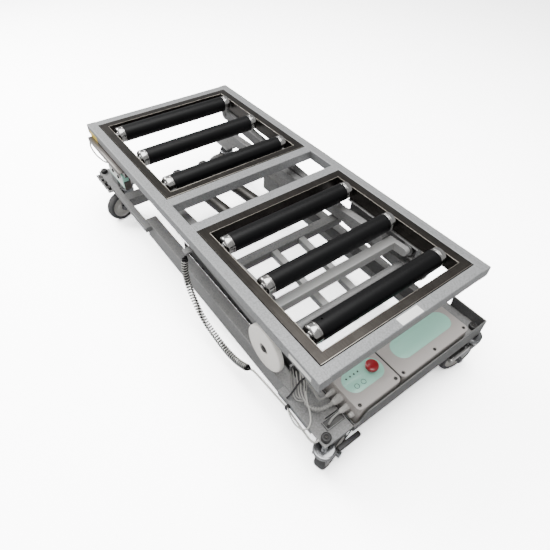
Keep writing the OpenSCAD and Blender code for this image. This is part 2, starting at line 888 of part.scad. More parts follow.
module actuator_motors()
    color("dimgray")
        place()
            for (side = [-1, 1])
                on_actuator(side) {
                    rod_x(-motor_side, 0, motor_d, [gear_x[1], gear_x[1] + motor_l]);
                    rod_x(-motor_side, 0, motor_d - 12,
                        [gear_x[1] + motor_l - 1, gear_x[1] + motor_l + motor_cap]);
                }

module actuator_rods()
    color("gainsboro")
        place()
            for (side = [-1, 1])
                on_actuator(side)
                    difference() {
                        union() {
                            rod_x(0, 0, rod_d, [rod_start, act_len - eye_d / 2 + 1]);
                            rod_y(act_len, 0, eye_d, [-eye_w / 2, eye_w / 2]);
                            rod_x(0, 0, eye_w, [act_len - eye_d, act_len - eye_d / 2 + 2]);
                        }
                        rod_y(act_len, 0, eye_hole, [-eye_w, eye_w]);
                    }

module side_rails()
    color("darkgray")
        place()
            both_sides()
                bar_x([rail_x0, rail_x1], [rail_in, rail_y], [rail_top - rail_h, rail_top]);

post_x = 30;
post_y = 290;
post_t = rail_y - post_y;
boss_in = arm_a_out + seat;

// Narrow legs with the caster plates; the rear ones carry the pivot posts
module corner_legs()
    color("darkgray")
        place() {
            both_sides()
                rear_corner();
            front_corner(bat_end + box_gap);
            mirror([0, 1, 0])
                difference() {
                    front_corner(plate_in_y);
                    block(lead_slot, [0, lead_slot_y], [plate_z - 1, rail_top + 1]);
                }
        }

module kingpin(x, y)
    rod_z(x, y, king_d, [crown_z + crown_t + 1, plate_z + 1]);

module rear_corner() {
    kingpin(swivel_rear, swivel_rear_y);
    bar_x([rear_end, rail_x0 + 48], [rail_y, leg_out], [leg_z, rail_top], 2);
    block(plate_rear, [plate_in_y, rail_y + 3], [plate_z, rail_top]);
    block([rear_end, plate_rear[0]], [rail_y - 20, rail_y + 3], [plate_z, rail_top]);
    plate_y([[pivot_x - post_x, rail_top - 1], [pivot_x + post_x, rail_top - 1],
        [pivot_x + post_x, low_z - 8], [pivot_x + 16, low_z + 20], [pivot_x - 16, low_z + 20],
        [pivot_x - post_x, low_z - 8]], [post_y, rail_y]);
    rod_y(pivot_x, low_z, pin_d + 14, [boss_in, post_y + 1]);
    rod_y(pivot_x, low_z, pin_d, [arm_a_in - 3, boss_in + 1]);
}

module front_corner(inner_y) {
    kingpin(swivel_front, swivel_front_y);
    bar_x([rail_x1 - 40, front_end - 60], [rail_y, leg_out], [leg_z, rail_top], 2);
    block([rail_x1, apron_x], [inner_y, rail_y + 3], [plate_z, rail_top]);
    block([apron_x - knob_block, apron_x], [rail_y, leg_out], [plate_z, rail_top]);
}

clamp_x = box_routes[0][len(box_routes[0]) - 1][0];
clamp_w = 38;
clamp_rise = 22;

// Cross tubes of the chassis, with the actuators' rear lugs and the leads' clamp plate
module chassis_cross_tubes()
    color("gray")
        place() {
            bar_y([act_x - cross_tube_w / 2, act_x + cross_tube_w / 2], [-rail_y, rail_y],
                [cross_tube_z, cross_tube_z + cross_tube_h]);
            bar_y([rail_x1 - front_tube_w, rail_x1], [-rail_in, rail_in],
                [tray_z - cross_tube_h, tray_z]);
            block([clamp_x - 6, clamp_x], [-rail_in, -rail_in + clamp_w],
                [tray_z, rail_top + clamp_rise]);
            for (side = [-1, 1])
                for (way = [-1, 1])
                    rear_lug(side * act_y + way * (eye_w / 2 + 0.5), way);
            for (side = [-1, 1])
                rod_y(act_x, act_z, clevis_d,
                    [side * act_y - eye_w / 2 - lug_t, side * act_y + eye_w / 2 + lug_t]);
        }

module rear_lug(y, way)
    translate([0, way < 0 ? y - lug_t : y, 0]) {
        rod_y(act_x, act_z, 24, [0, lug_t]);
        block([act_x - 12, act_x + 12], [0, lug_t], [cross_tube_z + cross_tube_h - 1, act_z]);
    }

wall_y = leg_out;

// Folded front sheet: apron, right side wall and the tray under both boxes
module front_apron()
    color("darkgray")
        place() {
            plate_x([[-plate_in_y, tray_z], [wall_y + apron_t, tray_z],
                [wall_y + apron_t, apron_top], [box_left + 24, apron_top],
                [box_left + 2, rail_top + 6], [-plate_in_y, rail_top]],
                [apron_x, front_end]);
            block([rail_x1 + 40, apron_x + 1], [wall_y, wall_y + apron_t], [leg_z, apron_top]);
            block([rail_x1 - front_tube_w, apron_x + 1], [tray_left, tray_right],
                [tray_z, tray_z + tray_t]);
        }

knobs = [[742, -304], [742, 304], [-702, -304], [-702, 304]];

clip_at = tail_route[5];

// Black corner knobs, and the black clip that holds the cord against the left leg
module corner_knobs()
    color("black")
        place() {
            for (k = knobs) {
                rod_z(k[0], k[1], knob_d, [rail_top, rail_top + 10]);
                translate([k[0], k[1], rail_top + 10])
                    cylinder(h = 3, d1 = knob_d, d2 = knob_d - 8);
            }
            difference() {
                block([clip_at[0] - 5, clip_at[0] + 5], [clip_at[1] - 7, -leg_out],
                    [clip_at[2] - 7, clip_at[2] + 7]);
                rod_x(clip_at[1], clip_at[2], lead_d + 3, [clip_at[0] - 6, clip_at[0] + 6]);
            }
        }

step_y = [-342, -leg_out];
step_x = [-704, -562];

// Small outrigger frame at the rear left corner, with its bolts
module side_step()
    color("gray")
        place() {
            difference() {
                bar_z(step_x, step_y, [rail_top - 9, rail_top - 3], 2);
                block([step_x[0] + 8, step_x[1] - 8], [step_y[0] + 5, step_y[1] - 2],
                    [rail_top - 10, rail_top]);
            }
            for (x = [step_x[0] + 34, (step_x[0] + step_x[1]) / 2, step_x[1] - 34])
                rod_y(x, rail_top - 6, 7, [step_y[0] - 2, step_y[1]]);
        }

screw_in = 13;

// A box with rounded corners and recesses for its lid screws
module shell(y)
    difference() {
        union() {
            bar_z([box_back, box_front], y, [box_base, box_top - 9], box_r);
            bar_z([box_back + 1, box_front - 1], [y[0] + 1, y[1] - 1],
                [box_top - 9.5, box_top - 7], box_r - 1);
            bar_z([box_back, box_front], y, [box_top - 7.5, box_top], box_r);
        }
        for (x = [box_back + screw_in, box_front - screw_in])
            for (v = [y[0] + screw_in, y[1] - screw_in])
                rod_z(x, v, 8, [box_top - 3, box_top + 1]);
    }

module control_box()
    color("rosybrown")
        place()
            difference() {
                union() {
                    shell([box_left, ctl_end]);
                    rod_z(stop_x, stop_y, 26, [box_top - 1, box_top + 6]);
                }
                rod_z(stop_x, stop_y, stop_stem_d + 2 * run_fit, [box_top - stop_hole, box_top + 7]);
            }

module battery_box()
    color("rosybrown")
        place()
            shell([bat_left, bat_end]);

stop_z = box_top + 6 + stop_travel + 1;

module stop_button()
    color("crimson")
        place() {
            rod_z(stop_x, stop_y, stop_stem_d, [box_top - stop_stem, stop_z + 1]);
            rod_z(stop_x, stop_y, stop_d, [stop_z, stop_z + 8]);
            translate([stop_x, stop_y, stop_z + 8])
                cylinder(h = 4, d1 = stop_d, d2 = stop_d - 10);
        }

// Plugs on the control box's left end, one for each lead
module box_plugs()
    color("lightgray")
        place()
            for (i = [0 : 2]) {
                rod_y(box_routes[i][0][0], box_routes[i][0][2], i == 0 ? 26 : 18,
                    [box_left - 18, box_left]);
                rod_y(box_routes[i][0][0], box_routes[i][0][2], i == 0 ? 20 : 13,
                    [plug_y, box_left - 17]);
            }

// Swivel fork: head with a raceway, neck, crown, two cheeks and the wheel's axle
module caster_fork(i)
    color("lightgray")
        place()
            on_caster(i) {
                difference() {
                    union() {
                        turned_z(head_d, [crown_z + crown_t, head_top], 2);
                        rod_z(0, 0, head_d - 4, [crown_z, crown_z + crown_t + 3]);
                        rod_z(0, 0, neck_d, [head_top - 1, plate_z - seat]);
                    }
                    rod_z(0, 0, king_d + 2 * run_fit, [crown_z + crown_t, rail_top]);
                }
                both_sides() {
                    fork_cheek();
                    block([-20, 18], [fork_in - 4, fork_in + 1], [crown_z, crown_z + crown_t]);
                    rod_y(trail, hub_z, fork_pin_d + 8, [fork_in + fork_t, fork_in + fork_t + 5]);
                    if (i < 2)
                        rod_y(pedal_x, pedal_z, pedal_pin_d,
                            [fork_in + fork_t - 1, fork_in + fork_t + seat + pedal_t + 1]);
                }
                rod_y(trail, hub_z, fork_pin_d, [-fork_in - 1, fork_in + 1]);
            }

module turned_z(d, z, c)
    translate([0, 0, z[0]]) {
        cylinder(h = c, d1 = d - 2 * c, d2 = d);
        translate([0, 0, c])
            cylinder(h = z[1] - z[0] - c, d = d);
    }

module fork_cheek() {
    plate_y([[-22, crown_z + crown_t], [-18, crown_z - 16], [trail - 13, hub_z],
        [trail + 13, hub_z], [trail + 4, hub_z + 34], [22, crown_z + crown_t]],
        [fork_in, fork_in + fork_t]);
    rod_y(trail, hub_z, 26, [fork_in, fork_in + fork_t]);
}

module caster_fork_1() caster_fork(0);
module caster_fork_2() caster_fork(1);
module caster_fork_3() caster_fork(2);
module caster_fork_4() caster_fork(3);

tyre_t = 20;

module caster_wheel(i)
    color("gray")
        place()
            on_caster(i)
                difference() {
                    union() {
                        turned_y(trail, hub_z, wheel_d, [-wheel_w / 2, wheel_w / 2], 6);
                        rod_y(trail, hub_z, 36, [-fork_in + seat, fork_in - seat]);
                    }
                    rod_y(trail, hub_z, fork_pin_d + 2 * run_fit, [-fork_in, fork_in]);
                    both_sides()
                        difference() {
                            rod_y(trail, hub_z, wheel_d - 2 * tyre_t,
                                [wheel_w / 2 - 5, wheel_w / 2 + 1]);
                            rod_y(trail, hub_z, 48, [0, wheel_w]);
                        }
                }

module caster_wheel_1() caster_wheel(0);
module caster_wheel_2() caster_wheel(1);
module caster_wheel_3() caster_wheel(2);
module caster_wheel_4() caster_wheel(3);

pedal_in = fork_in + fork_t + seat;
pedal_end = 132;

// Brake pedal: a tread behind the wheel on two cheeks that turn on the fork
module brake_pedal(i)
    color("black")
        place()
            on_caster(i) {
                both_sides()
                    difference() {
                        union() {
                            rod_y(pedal_x, pedal_z, 16, [pedal_in, pedal_in + pedal_t]);
                            plate_y([[pedal_x - 2, pedal_z - 8], [pedal_end - 20, pedal_z - 4],
                                [pedal_end, pedal_z - 3], [pedal_end, pedal_z + 3],
                                [pedal_x - 2, pedal_z + 8]], [pedal_in, pedal_in + pedal_t]);
                        }
                        rod_y(pedal_x, pedal_z, pedal_pin_d + 2 * run_fit,
                            [pedal_in - 1, pedal_in + pedal_t + 1]);
                    }
                bar_x([pedal_end - 20, pedal_end], [-pedal_in - 0.5, pedal_in + 0.5],
                    [pedal_z - 1, pedal_z + 3], 1.5);
            }

module brake_pedal_1() brake_pedal(0);
module brake_pedal_2() brake_pedal(1);

deck_side_tubes();
deck_cross_tubes();
roller_frame_rear();
roller_frame_front();
roller_axles();
roller_sleeve_1();
roller_sleeve_2();
roller_sleeve_3();
roller_sleeve_4();
roller_sleeve_5();
roller_sleeve_6();
roller_caps_1();
roller_caps_2();
roller_caps_3();
roller_caps_4();
roller_caps_5();
roller_caps_6();
deck_hangers();
hand_holder();
hand_control();
hand_button_up();
hand_button_down();
hand_lead();
arm_a_tubes();
arm_a_cross_tubes();
arm_a_forks();
arm_b_tubes();
arm_b_cross_tubes();
arm_b_spars();
nylon_wheel_left();
nylon_wheel_right();
track_wheel_left();
track_wheel_right();
cord_bracket();
coil_cord();
cord_tail();
box_leads();
actuator_housings();
actuator_motors();
actuator_rods();
side_rails();
corner_legs();
chassis_cross_tubes();
front_apron();
corner_knobs();
side_step();
control_box();
battery_box();
stop_button();
box_plugs();
caster_fork_1();
caster_fork_2();
caster_fork_3();
caster_fork_4();
caster_wheel_1();
caster_wheel_2();
caster_wheel_3();
caster_wheel_4();
brake_pedal_1();
brake_pedal_2();
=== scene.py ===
# %% [markdown]
# A coffin lifting trolley: a roller deck on a scissor lift, with a chassis on four
# casters. The CAD model gives every solid its place; this script dresses it with
# finishes, cords and the small pieces that a lathe or a mould leaves behind.

# %% Load the CAD frame
import bpy
import bmesh
import json
import math
from mathutils import Matrix, Vector
from mathutils.kdtree import KDTree

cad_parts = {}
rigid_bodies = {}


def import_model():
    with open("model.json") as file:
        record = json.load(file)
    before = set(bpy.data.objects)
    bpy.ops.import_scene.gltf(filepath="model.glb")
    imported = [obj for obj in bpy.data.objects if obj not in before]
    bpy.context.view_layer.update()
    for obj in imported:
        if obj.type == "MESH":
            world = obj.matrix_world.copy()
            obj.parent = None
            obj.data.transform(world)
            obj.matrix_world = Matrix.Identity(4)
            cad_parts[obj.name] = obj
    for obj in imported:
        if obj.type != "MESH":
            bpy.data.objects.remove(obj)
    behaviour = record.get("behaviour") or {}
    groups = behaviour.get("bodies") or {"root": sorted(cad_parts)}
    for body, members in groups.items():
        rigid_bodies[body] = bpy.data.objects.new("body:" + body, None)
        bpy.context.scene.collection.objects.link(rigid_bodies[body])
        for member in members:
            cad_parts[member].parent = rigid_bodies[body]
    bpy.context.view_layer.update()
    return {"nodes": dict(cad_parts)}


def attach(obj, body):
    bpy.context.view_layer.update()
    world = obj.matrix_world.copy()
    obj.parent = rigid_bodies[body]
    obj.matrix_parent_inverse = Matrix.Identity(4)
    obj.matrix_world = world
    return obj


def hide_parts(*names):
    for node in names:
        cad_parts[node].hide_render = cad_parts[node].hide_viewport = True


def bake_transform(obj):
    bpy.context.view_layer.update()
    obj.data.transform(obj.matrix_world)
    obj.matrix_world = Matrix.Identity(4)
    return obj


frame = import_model()
nodes = frame["nodes"]

# %% [markdown]
# The trolley was measured from the middle of its deck, in millimetres. One helper
# turns such a measure into a point of the scene, in metres, so that every number below
# reads like a drawing, and another makes the move that takes a piece there.

# %% Drawing measures to metres
SHIFT_X = -28.955
SHIFT_Y = 11.854
MM = 0.001


def at(x, y, z):
    """A point of the drawing, in mm from the deck's middle, as a place in the scene."""
    return Vector(((x + SHIFT_X) * MM, (y + SHIFT_Y) * MM, z * MM))


def spot(x, y, z=0):
    """The move that takes a piece from the scene's middle to that point."""
    return Matrix.Translation(at(x, y, z))


print("deck middle:", at(0, 0, 405))

# %% [markdown]
# The camera comes first. Its place and turn were solved from the deck's four corners, so the lens
# and the roll are fixed numbers and the frame is square.

# %% Camera
AZIMUTH = math.radians(51.85)
ELEVATION = math.radians(46.70)
ROLL = math.radians(2.146)
LENS = 29.536
CAMERA_AT = (1037.5, -722.0, 1301.7)


def add_camera():
    back = Vector((math.sin(AZIMUTH) * math.cos(ELEVATION),
                   -math.cos(AZIMUTH) * math.cos(ELEVATION), math.sin(ELEVATION)))
    right = Vector((math.cos(AZIMUTH), math.sin(AZIMUTH), 0))
    up = back.cross(right)
    turned_right = right * math.cos(ROLL) + up * math.sin(ROLL)
    turned_up = up * math.cos(ROLL) - right * math.sin(ROLL)
    data = bpy.data.cameras.new("camera")
    data.lens = LENS
    data.sensor_width = 36
    camera = bpy.data.objects.new("camera", data)
    turn = Matrix((turned_right, turned_up, back)).transposed().to_4x4()
    camera.matrix_world = spot(*CAMERA_AT) @ turn
    bpy.context.scene.collection.objects.link(camera)
    bpy.context.scene.camera = camera
    return camera


camera = add_camera()
print("camera at", tuple(camera.location))

# %% [markdown]
# The trolley stands on a white studio floor under soft light: one broad light above and
# one from behind on the left, so that top faces are bright and side faces fall off. The
# floor looks white to the camera, but sends less light back up, as a paper sweep does.

# %% Floor and lights
FLOOR_SIZE = 24.0
FLOOR_SEEN = (4.2, 4.2, 4.2, 1)
FLOOR_BOUNCE = (0.5, 0.5, 0.5, 1)


def add_floor():
    bpy.ops.object.select_all(action="DESELECT")
    bpy.ops.mesh.primitive_plane_add(size=FLOOR_SIZE, location=(0, 0, 0))
    floor = bpy.context.object
    floor.name = "floor"
    paint = bpy.data.materials.new("studio_floor")
    paint.use_nodes = True
    tree = paint.node_tree
    tree.nodes.remove(tree.nodes["Principled BSDF"])
    ray = tree.nodes.new("ShaderNodeLightPath")
    colour = tree.nodes.new("ShaderNodeMix")
    colour.data_type = "RGBA"
    colour.inputs[6].default_value = FLOOR_BOUNCE
    colour.inputs[7].default_value = FLOOR_SEEN
    matt = tree.nodes.new("ShaderNodeBsdfDiffuse")
    tree.links.new(ray.outputs["Is Camera Ray"], colour.inputs[0])
    tree.links.new(colour.outputs[2], matt.inputs["Color"])
    tree.links.new(matt.outputs[0], tree.nodes["Material Output"].inputs["Surface"])
    floor.data.materials.append(paint)


def add_light(name, place, target, size, power):
    data = bpy.data.lights.new(name, "AREA")
    data.shape = "RECTANGLE"
    data.size, data.size_y = size
    data.energy = power
    lamp = bpy.data.objects.new(name, data)
    way = Vector(target) - Vector(place)
    lamp.matrix_world = (Matrix.Translation(place)
                         @ way.to_track_quat("-Z", "Y").to_matrix().to_4x4())
    bpy.context.scene.collection.objects.link(lamp)


add_floor()
add_light("top_softbox", (0.1, 0.1, 3.4), (0, 0, 0), (3.2, 2.6), 205)
add_light("back_left_softbox", (-3.2, -1.2, 2.9), (0, 0, 0.3), (2.6, 2.0), 210)
add_light("front_softbox", (1.8, -3.0, 3.4), (0.4, 0, 0.2), (2.2, 1.6), 36)
world = bpy.data.worlds.new("studio")
world.use_nodes = True
world.node_tree.nodes["Background"].inputs["Color"].default_value = (1, 1, 1, 1)
world.node_tree.nodes["Background"].inputs["Strength"].default_value = 0.53
bpy.context.scene.world = world

# %% [markdown]
# A cord is a line with a thickness. Each route below is a handful of points, and one
# smooth curve runs through all of them, so a lead leaves its gland straight and sags
# where nothing holds it. The CAD source has the same leads, on slightly plainer routes.

# %% Smooth routes
ROUTE_STEPS = 400


def on_spline(points, t):
    """The smooth curve through the points, at t from 0 to the last index."""
    last = len(points) - 1
    i = min(int(t), last - 1)
    u = t - i
    a, b, c, d = (points[j] for j in (max(i - 1, 0), i, i + 1, min(i + 2, last)))
    return b + u * ((c - a) / 2 + u * ((a - 2.5 * b + 2 * c - d / 2)
                                       + u * (3 * b - a - 3 * c + d) / 2))


class Route:
    """A route in mm that can be asked for the place at a running length."""

    def __init__(self, points):
        points = [Vector(p) for p in points]
        last = len(points) - 1
        self.samples = [on_spline(points, last * i / ROUTE_STEPS)
                        for i in range(ROUTE_STEPS + 1)]
        self.runs = [0.0]
        for one, two in zip(self.samples, self.samples[1:]):
            self.runs.append(self.runs[-1] + (two - one).length)
        self.length = self.runs[-1]

    def place(self, run):
        run = min(max(run, 0), self.length)
        low, high = 0, len(self.runs) - 1
        while high - low > 1:
            i = (low + high) // 2
            low, high = (i, high) if self.runs[i] <= run else (low, i)
        span = self.runs[high] - self.runs[low]
        return self.samples[low].lerp(self.samples[high], (run - self.runs[low]) / span)

    def way(self, run):
        return (self.place(run + 1) - self.place(run - 1)).normalized()

    def spaced(self, count):
        return [self.place(self.length * i / (count - 1)) for i in range(count)]


def path_length(points):
    return sum((two - one).length for one, two in zip(points, points[1:]))


print("route helpers ready")

# %% [markdown]
# A round lead is drawn as a curve object: Blender sweeps a circle along it and closes both ends.
# It is then turned into a mesh.

# %% Round leads
def tube_piece(name, points, radius, radii=None, roundness=4):
    """A round lead along points in metres; radii can swell it at each point."""
    data = bpy.data.curves.new(name, "CURVE")
    data.dimensions = "3D"
    data.bevel_depth = radius
    data.bevel_resolution = roundness
    data.use_fill_caps = True
    line = data.splines.new("POLY")
    line.points.add(len(points) - 1)
    for i, point in enumerate(points):
        line.points[i].co = (*point, 1)
        line.points[i].radius = radii[i] if radii else 1
    line.use_smooth = True
    piece = bpy.data.objects.new(name, data)
    bpy.context.scene.collection.objects.link(piece)
    return piece


def as_mesh(piece):
    """Turns a curve piece into a mesh piece, as Object > Convert does."""
    bpy.ops.object.select_all(action="DESELECT")
    piece.select_set(True)
    bpy.context.view_layer.objects.active = piece
    bpy.ops.object.convert(target="MESH")
    return bpy.context.object


print("lead helpers ready")

# %% [markdown]
# The curled cord is one length of round lead. It leaves the bracket on the inner arm, winds 52
# curls along a hanging curve, and runs on straight along the left leg to the front plate. Every
# curl comes from a formula: the lead goes round the route once per curl. It is a mesh; the real
# cord stretches between the arm and the chassis as the deck rises.

# %% Curled cord with its straight tail
LEAD_D = 6
COIL_D = 22
CURLS = 52
CURL_POINTS = 16
TAIL_POINTS = 37
COIL_ROUTE = [(90, -324, 330), (90, -331, 320), (89, -337, 292.2), (94, -341, 256.8),
              (106, -343, 214.4), (132, -344, 171.9), (166, -344, 136.5), (212, -343, 112),
              (264, -341, 98), (318, -340, 94), (368, -338, 101), (408, -335, 118),
              (430, -333, 132), (446, -332, 142)]
TAIL_ROUTE = [(446, -332, 142), (456, -331, 147), (480, -330, 150), (528, -329, 155),
              (588, -329, 162), (612, -329, 165), (650, -331, 163), (690, -333, 162),
              (714, -335, 165), (728, -334, 171), (733, -331, 176), (734, -327, 180),
              (735, -322, 180.7)]
coil = Route(COIL_ROUTE)
tail = Route(TAIL_ROUTE)


def ease(x):
    """Rises softly from 0 to 1, and stays there."""
    return 1 if x >= 1 else x * x * (3 - 2 * x)


def curl_point(share):
    """A point of the winding, at a share from 0 to 1 of its length."""
    run = LEAD_D + share * (coil.length - 2 * LEAD_D)
    way = coil.way(run)
    side = (Vector((0, 1, 0)) - way * way.y).normalized()
    up = way.cross(side)
    turn = 2 * math.pi * CURLS * share
    radius = (COIL_D - LEAD_D) / 2 * ease(min(share, 1 - share) * CURLS / 2)
    return coil.place(run) + radius * (math.cos(turn) * side + math.sin(turn) * up)


turns = CURLS * CURL_POINTS
curled = [Vector(COIL_ROUTE[0])] + [curl_point(i / turns) for i in range(turns + 1)]
curled += tail.spaced(TAIL_POINTS)
cord_path = [at(*p) for p in curled]
hanging_cord = as_mesh(tube_piece("curled_cord", cord_path, LEAD_D / 2 * MM, roundness=3))
bpy.ops.object.shade_smooth()
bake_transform(hanging_cord)
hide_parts("coil_cord", "cord_tail")

# %% [markdown]
# The hand control's white lead hangs in one lazy loop beside its holder and goes up
# into the deck's side tube. It belongs wholly to the deck, so it rides there and needs
# no blend between two bodies.

# %% Hand control's lead
HAND_ROUTE = [(-540, -310, 304), (-552, -310, 304), (-590, -322, 298), (-640, -332, 306),
              (-676, -334, 326), (-690, -324, 344), (-692, -310, 356), (-690, -305, 363),
              (-690, -305, 370)]
PLAIN_POINTS = 36


def plain_cord(name, route, diameter, body, slot, **facts):
    path = [at(*p) for p in Route(route).spaced(PLAIN_POINTS)]
    piece = as_mesh(tube_piece(name, path, diameter / 2 * MM))
    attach(piece, body)
    print(name, round(path_length(path), 3), "m")
    return piece


hand_cord = plain_cord("hand_control_lead", HAND_ROUTE, LEAD_D, "deck", "cord_jacket",
                       stiffness="limp")
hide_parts("hand_lead")

# %% [markdown]
# Three leads leave the control box's left end. The thick one is a corrugated conduit:
# its rings are modelled, because they show as a row of fine stripes. Its radius swells
# and shrinks along the line, and the result is turned into a mesh.

# %% Control box leads
CONDUIT_ROUTE = [(686, -237, 204), (686, -250, 204), (682, -270, 203), (671, -285, 202),
                 (654, -292, 201), (640, -290, 200)]
MOTOR_ROUTE = [(660, -237, 200), (660, -246, 200), (652, -256, 199), (624, -250, 196),
               (590, -246, 192), (556, -240, 188), (532, -232, 188)]
PLATE_ROUTE = [(714, -237, 198), (714, -250, 197), (715, -262, 193), (717, -270, 187),
               (718, -274, 182)]
BOX_LEAD_D = 6
CONDUIT_D = 13
RING_PITCH = 7.6
RING_SHAPE = [1.0, 1.0, 1.0, 0.7, 0.7]


def conduit(name, route):
    line = Route(route)
    count = int(line.length / RING_PITCH) * len(RING_SHAPE)
    points = [at(*p) for p in line.spaced(count)]
    radii = [RING_SHAPE[i % len(RING_SHAPE)] for i in range(count)]
    piece = as_mesh(tube_piece(name, points, CONDUIT_D / 2 * MM, radii, roundness=3))
    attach(piece, "chassis")
    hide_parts("box_leads")
    return piece


box_conduit = conduit("box_conduit", CONDUIT_ROUTE)
motor_lead = plain_cord("motor_lead", MOTOR_ROUTE, BOX_LEAD_D, "chassis", "grey_jacket")
plate_lead = plain_cord("plate_lead", PLATE_ROUTE, BOX_LEAD_D, "chassis", "grey_jacket")
for piece in (motor_lead, plate_lead):
    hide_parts("box_leads")

# %% [markdown]
# Where the conduit ends, its thin cables run on under the deck to the clamp plate. They
# are limp, so each takes a slightly different line, and all start inside the conduit's
# mouth, spread round its middle. A white lead leaves the clip, hangs down in a loop and
# joins them, and a black strap holds the bundle.

# %% Thin cables and the white loop
THIN_D = 3.6
LOOP_D = 4.4
STRAP_D = 5
FAN_START = Vector((636, -289, 200))
FAN_SPREAD = 3.2
FAN_STEP = 1.05
INTO_MOUTH = Vector((8, 0, 0))
FAN = [((616, -276, 205), (590, -256, 201), (532, -228, 190)),
       ((616, -298, 198), (588, -284, 192), (532, -248, 184)),
       ((614, -284, 203), (586, -264, 199), (532, -222, 186)),
       ((618, -303, 192), (586, -292, 187), (532, -254, 178)),
       ((614, -290, 194), (588, -274, 190), (532, -238, 180)),
       ((618, -270, 199), (592, -248, 196), (532, -218, 190))]
for i, (near, far, last) in enumerate(FAN):
    turn = i * FAN_STEP
    start = FAN_START + FAN_SPREAD * Vector((0, math.cos(turn), math.sin(turn)))
    plain_cord("thin_cable_%d" % (i + 1), [start + INTO_MOUTH, start, near, far, last], THIN_D,
               "chassis", "grey_jacket", stiffness="limp")
print("thin cables:", len(FAN))
LOOP_ROUTE = [(612, -327, 172), (622, -334, 176), (644, -342, 180), (668, -346, 183),
              (690, -341, 187), (697, -328, 191), (688, -312, 196), (668, -299, 200),
              (650, -292, 207), (632, -282, 208), (618, -272, 204)]
loop_lead = plain_cord("loop_lead", LOOP_ROUTE, LOOP_D, "chassis", "cord_jacket",
                       stiffness="limp")
STRAP_ROUTE = [(584, -246, 203), (586, -262, 207), (590, -282, 202), (594, -304, 188),
               (594, -318, 181)]
cable_strap = plain_cord("cable_strap", STRAP_ROUTE, STRAP_D, "chassis", "grey_jacket",
                         stiffness="limp")

# %% [markdown]
# Finishes come next. An effect that several finishes share is a node group with named inputs and
# outputs: a mottle of slow colour, a hammered relief, the grain that a brush leaves, rubbed edges
# that also carry a painted highlight, and settled dust. Each group is built once, gives out only
# colours, masks, heights and normals that change over the surface, and is placed in each material
# with values of its own.

# %% Colours and wires
def rgb(red, green, blue):
    """A colour as a paint shop reads it, 0 to 255, as linear light."""
    parts = [c / 255 for c in (red, green, blue)]
    return tuple(c / 12.92 if c <= 0.04045 else ((c + 0.055) / 1.055) ** 2.4
                 for c in parts) + (1,)


class Wires:
    """Adds nodes to one tree and joins them by socket name, or by in0, in1 and so on."""

    def __init__(self, tree):
        self.tree = tree

    def add(self, kind, settings=None, **values):
        node = self.tree.nodes.new("ShaderNode" + kind)
        for name, value in (settings or {}).items():
            setattr(node, name, value)
        for name, value in values.items():
            self.feed(value, node, name.replace("_", " "))
        return node

    def feed(self, value, node, socket):
        numbered = socket[:2] == "in" and socket[2:].isdigit()
        place = node.inputs[int(socket[2:]) if numbered else socket]
        if isinstance(value, bpy.types.NodeSocket):
            self.tree.links.new(value, place)
        else:
            place.default_value = value

    def maths(self, operation, one, two=0.0, clamp=False):
        node = self.add("Math", {"operation": operation, "use_clamp": clamp}, in0=one,
                        in1=two)
        return node.outputs[0]

    def blend(self, factor, one, two):
        node = self.tree.nodes.new("ShaderNodeMix")
        node.data_type = "RGBA"
        for value, index in ((factor, 0), (one, 6), (two, 7)):
            if isinstance(value, bpy.types.NodeSocket):
                self.tree.links.new(value, node.inputs[index])
            else:
                node.inputs[index].default_value = value
        return node.outputs[2]

    def spread(self, value, low, high, new_low, new_high):
        node = self.add("MapRange", Value=value)
        for name, number in (("From Min", low), ("From Max", high), ("To Min", new_low),
                             ("To Max", new_high)):
            self.feed(number, node, name)
        return node.outputs["Result"]


print("wiring helpers ready")

# %% [markdown]
# A group needs its sockets before it can be wired. This helper makes an empty group with
# named inputs, each with a first value, and named outputs, and hands back both ends.

# %% Empty shader group
def new_group(name, inputs, outputs):
    """An empty shader group; returns it with its wires, its entry and its exit node."""
    group = bpy.data.node_groups.new(name, "ShaderNodeTree")
    for socket, kind, value in inputs:
        made = group.interface.new_socket(socket, in_out="INPUT",
                                          socket_type="NodeSocket" + kind)
        if value is not None:
            made.default_value = value
    for socket, kind in outputs:
        group.interface.new_socket(socket, in_out="OUTPUT", socket_type="NodeSocket" + kind)
    wires = Wires(group)
    entry = group.nodes.new("NodeGroupInput")
    leave = group.nodes.new("NodeGroupOutput")
    return group, wires, entry, leave


print("group helper ready")

# %% [markdown]
# Paint is never one even colour. The mottle group darkens and lightens a colour with
# two sizes of noise, and gives the fine noise again as a height for orange peel.

# %% Group: mottle
mottle, w, entry, leave = new_group(
    "mottle", [("Vector", "Vector", None), ("Colour", "Color", (0.5, 0.5, 0.5, 1)),
               ("Scale", "Float", 40), ("Amount", "Float", 0.1)],
    [("Colour", "Color"), ("Value", "Float"), ("Height", "Float")])
fine = w.add("TexNoise", Vector=entry.outputs["Vector"], Scale=entry.outputs["Scale"],
             Detail=4.0, Roughness=0.6)
broad = w.add("TexNoise", Vector=entry.outputs["Vector"], Scale=3.0, Detail=2.0)
both = w.maths("ADD", w.maths("MULTIPLY", fine.outputs["Fac"], 0.6),
               w.maths("MULTIPLY", broad.outputs["Fac"], 0.4))
swing = w.maths("MULTIPLY", w.maths("SUBTRACT", both, 0.5), entry.outputs["Amount"])
bright = w.maths("ADD", w.maths("MULTIPLY", swing, 4.0), 1.0)
tinted = w.add("HueSaturation", Color=entry.outputs["Colour"], Value=bright)
w.feed(tinted.outputs["Color"], leave, "Colour")
w.feed(both, leave, "Value")
w.feed(fine.outputs["Fac"], leave, "Height")
print("group mottle:", len(mottle.nodes), "nodes")

# %% [markdown]
# The deck is sprayed with hammered silver enamel, which dries in small flat cells with
# fine dark seams. A smooth Voronoi texture gives the cells, and its distance gives
# both the relief and the slight change of tone.

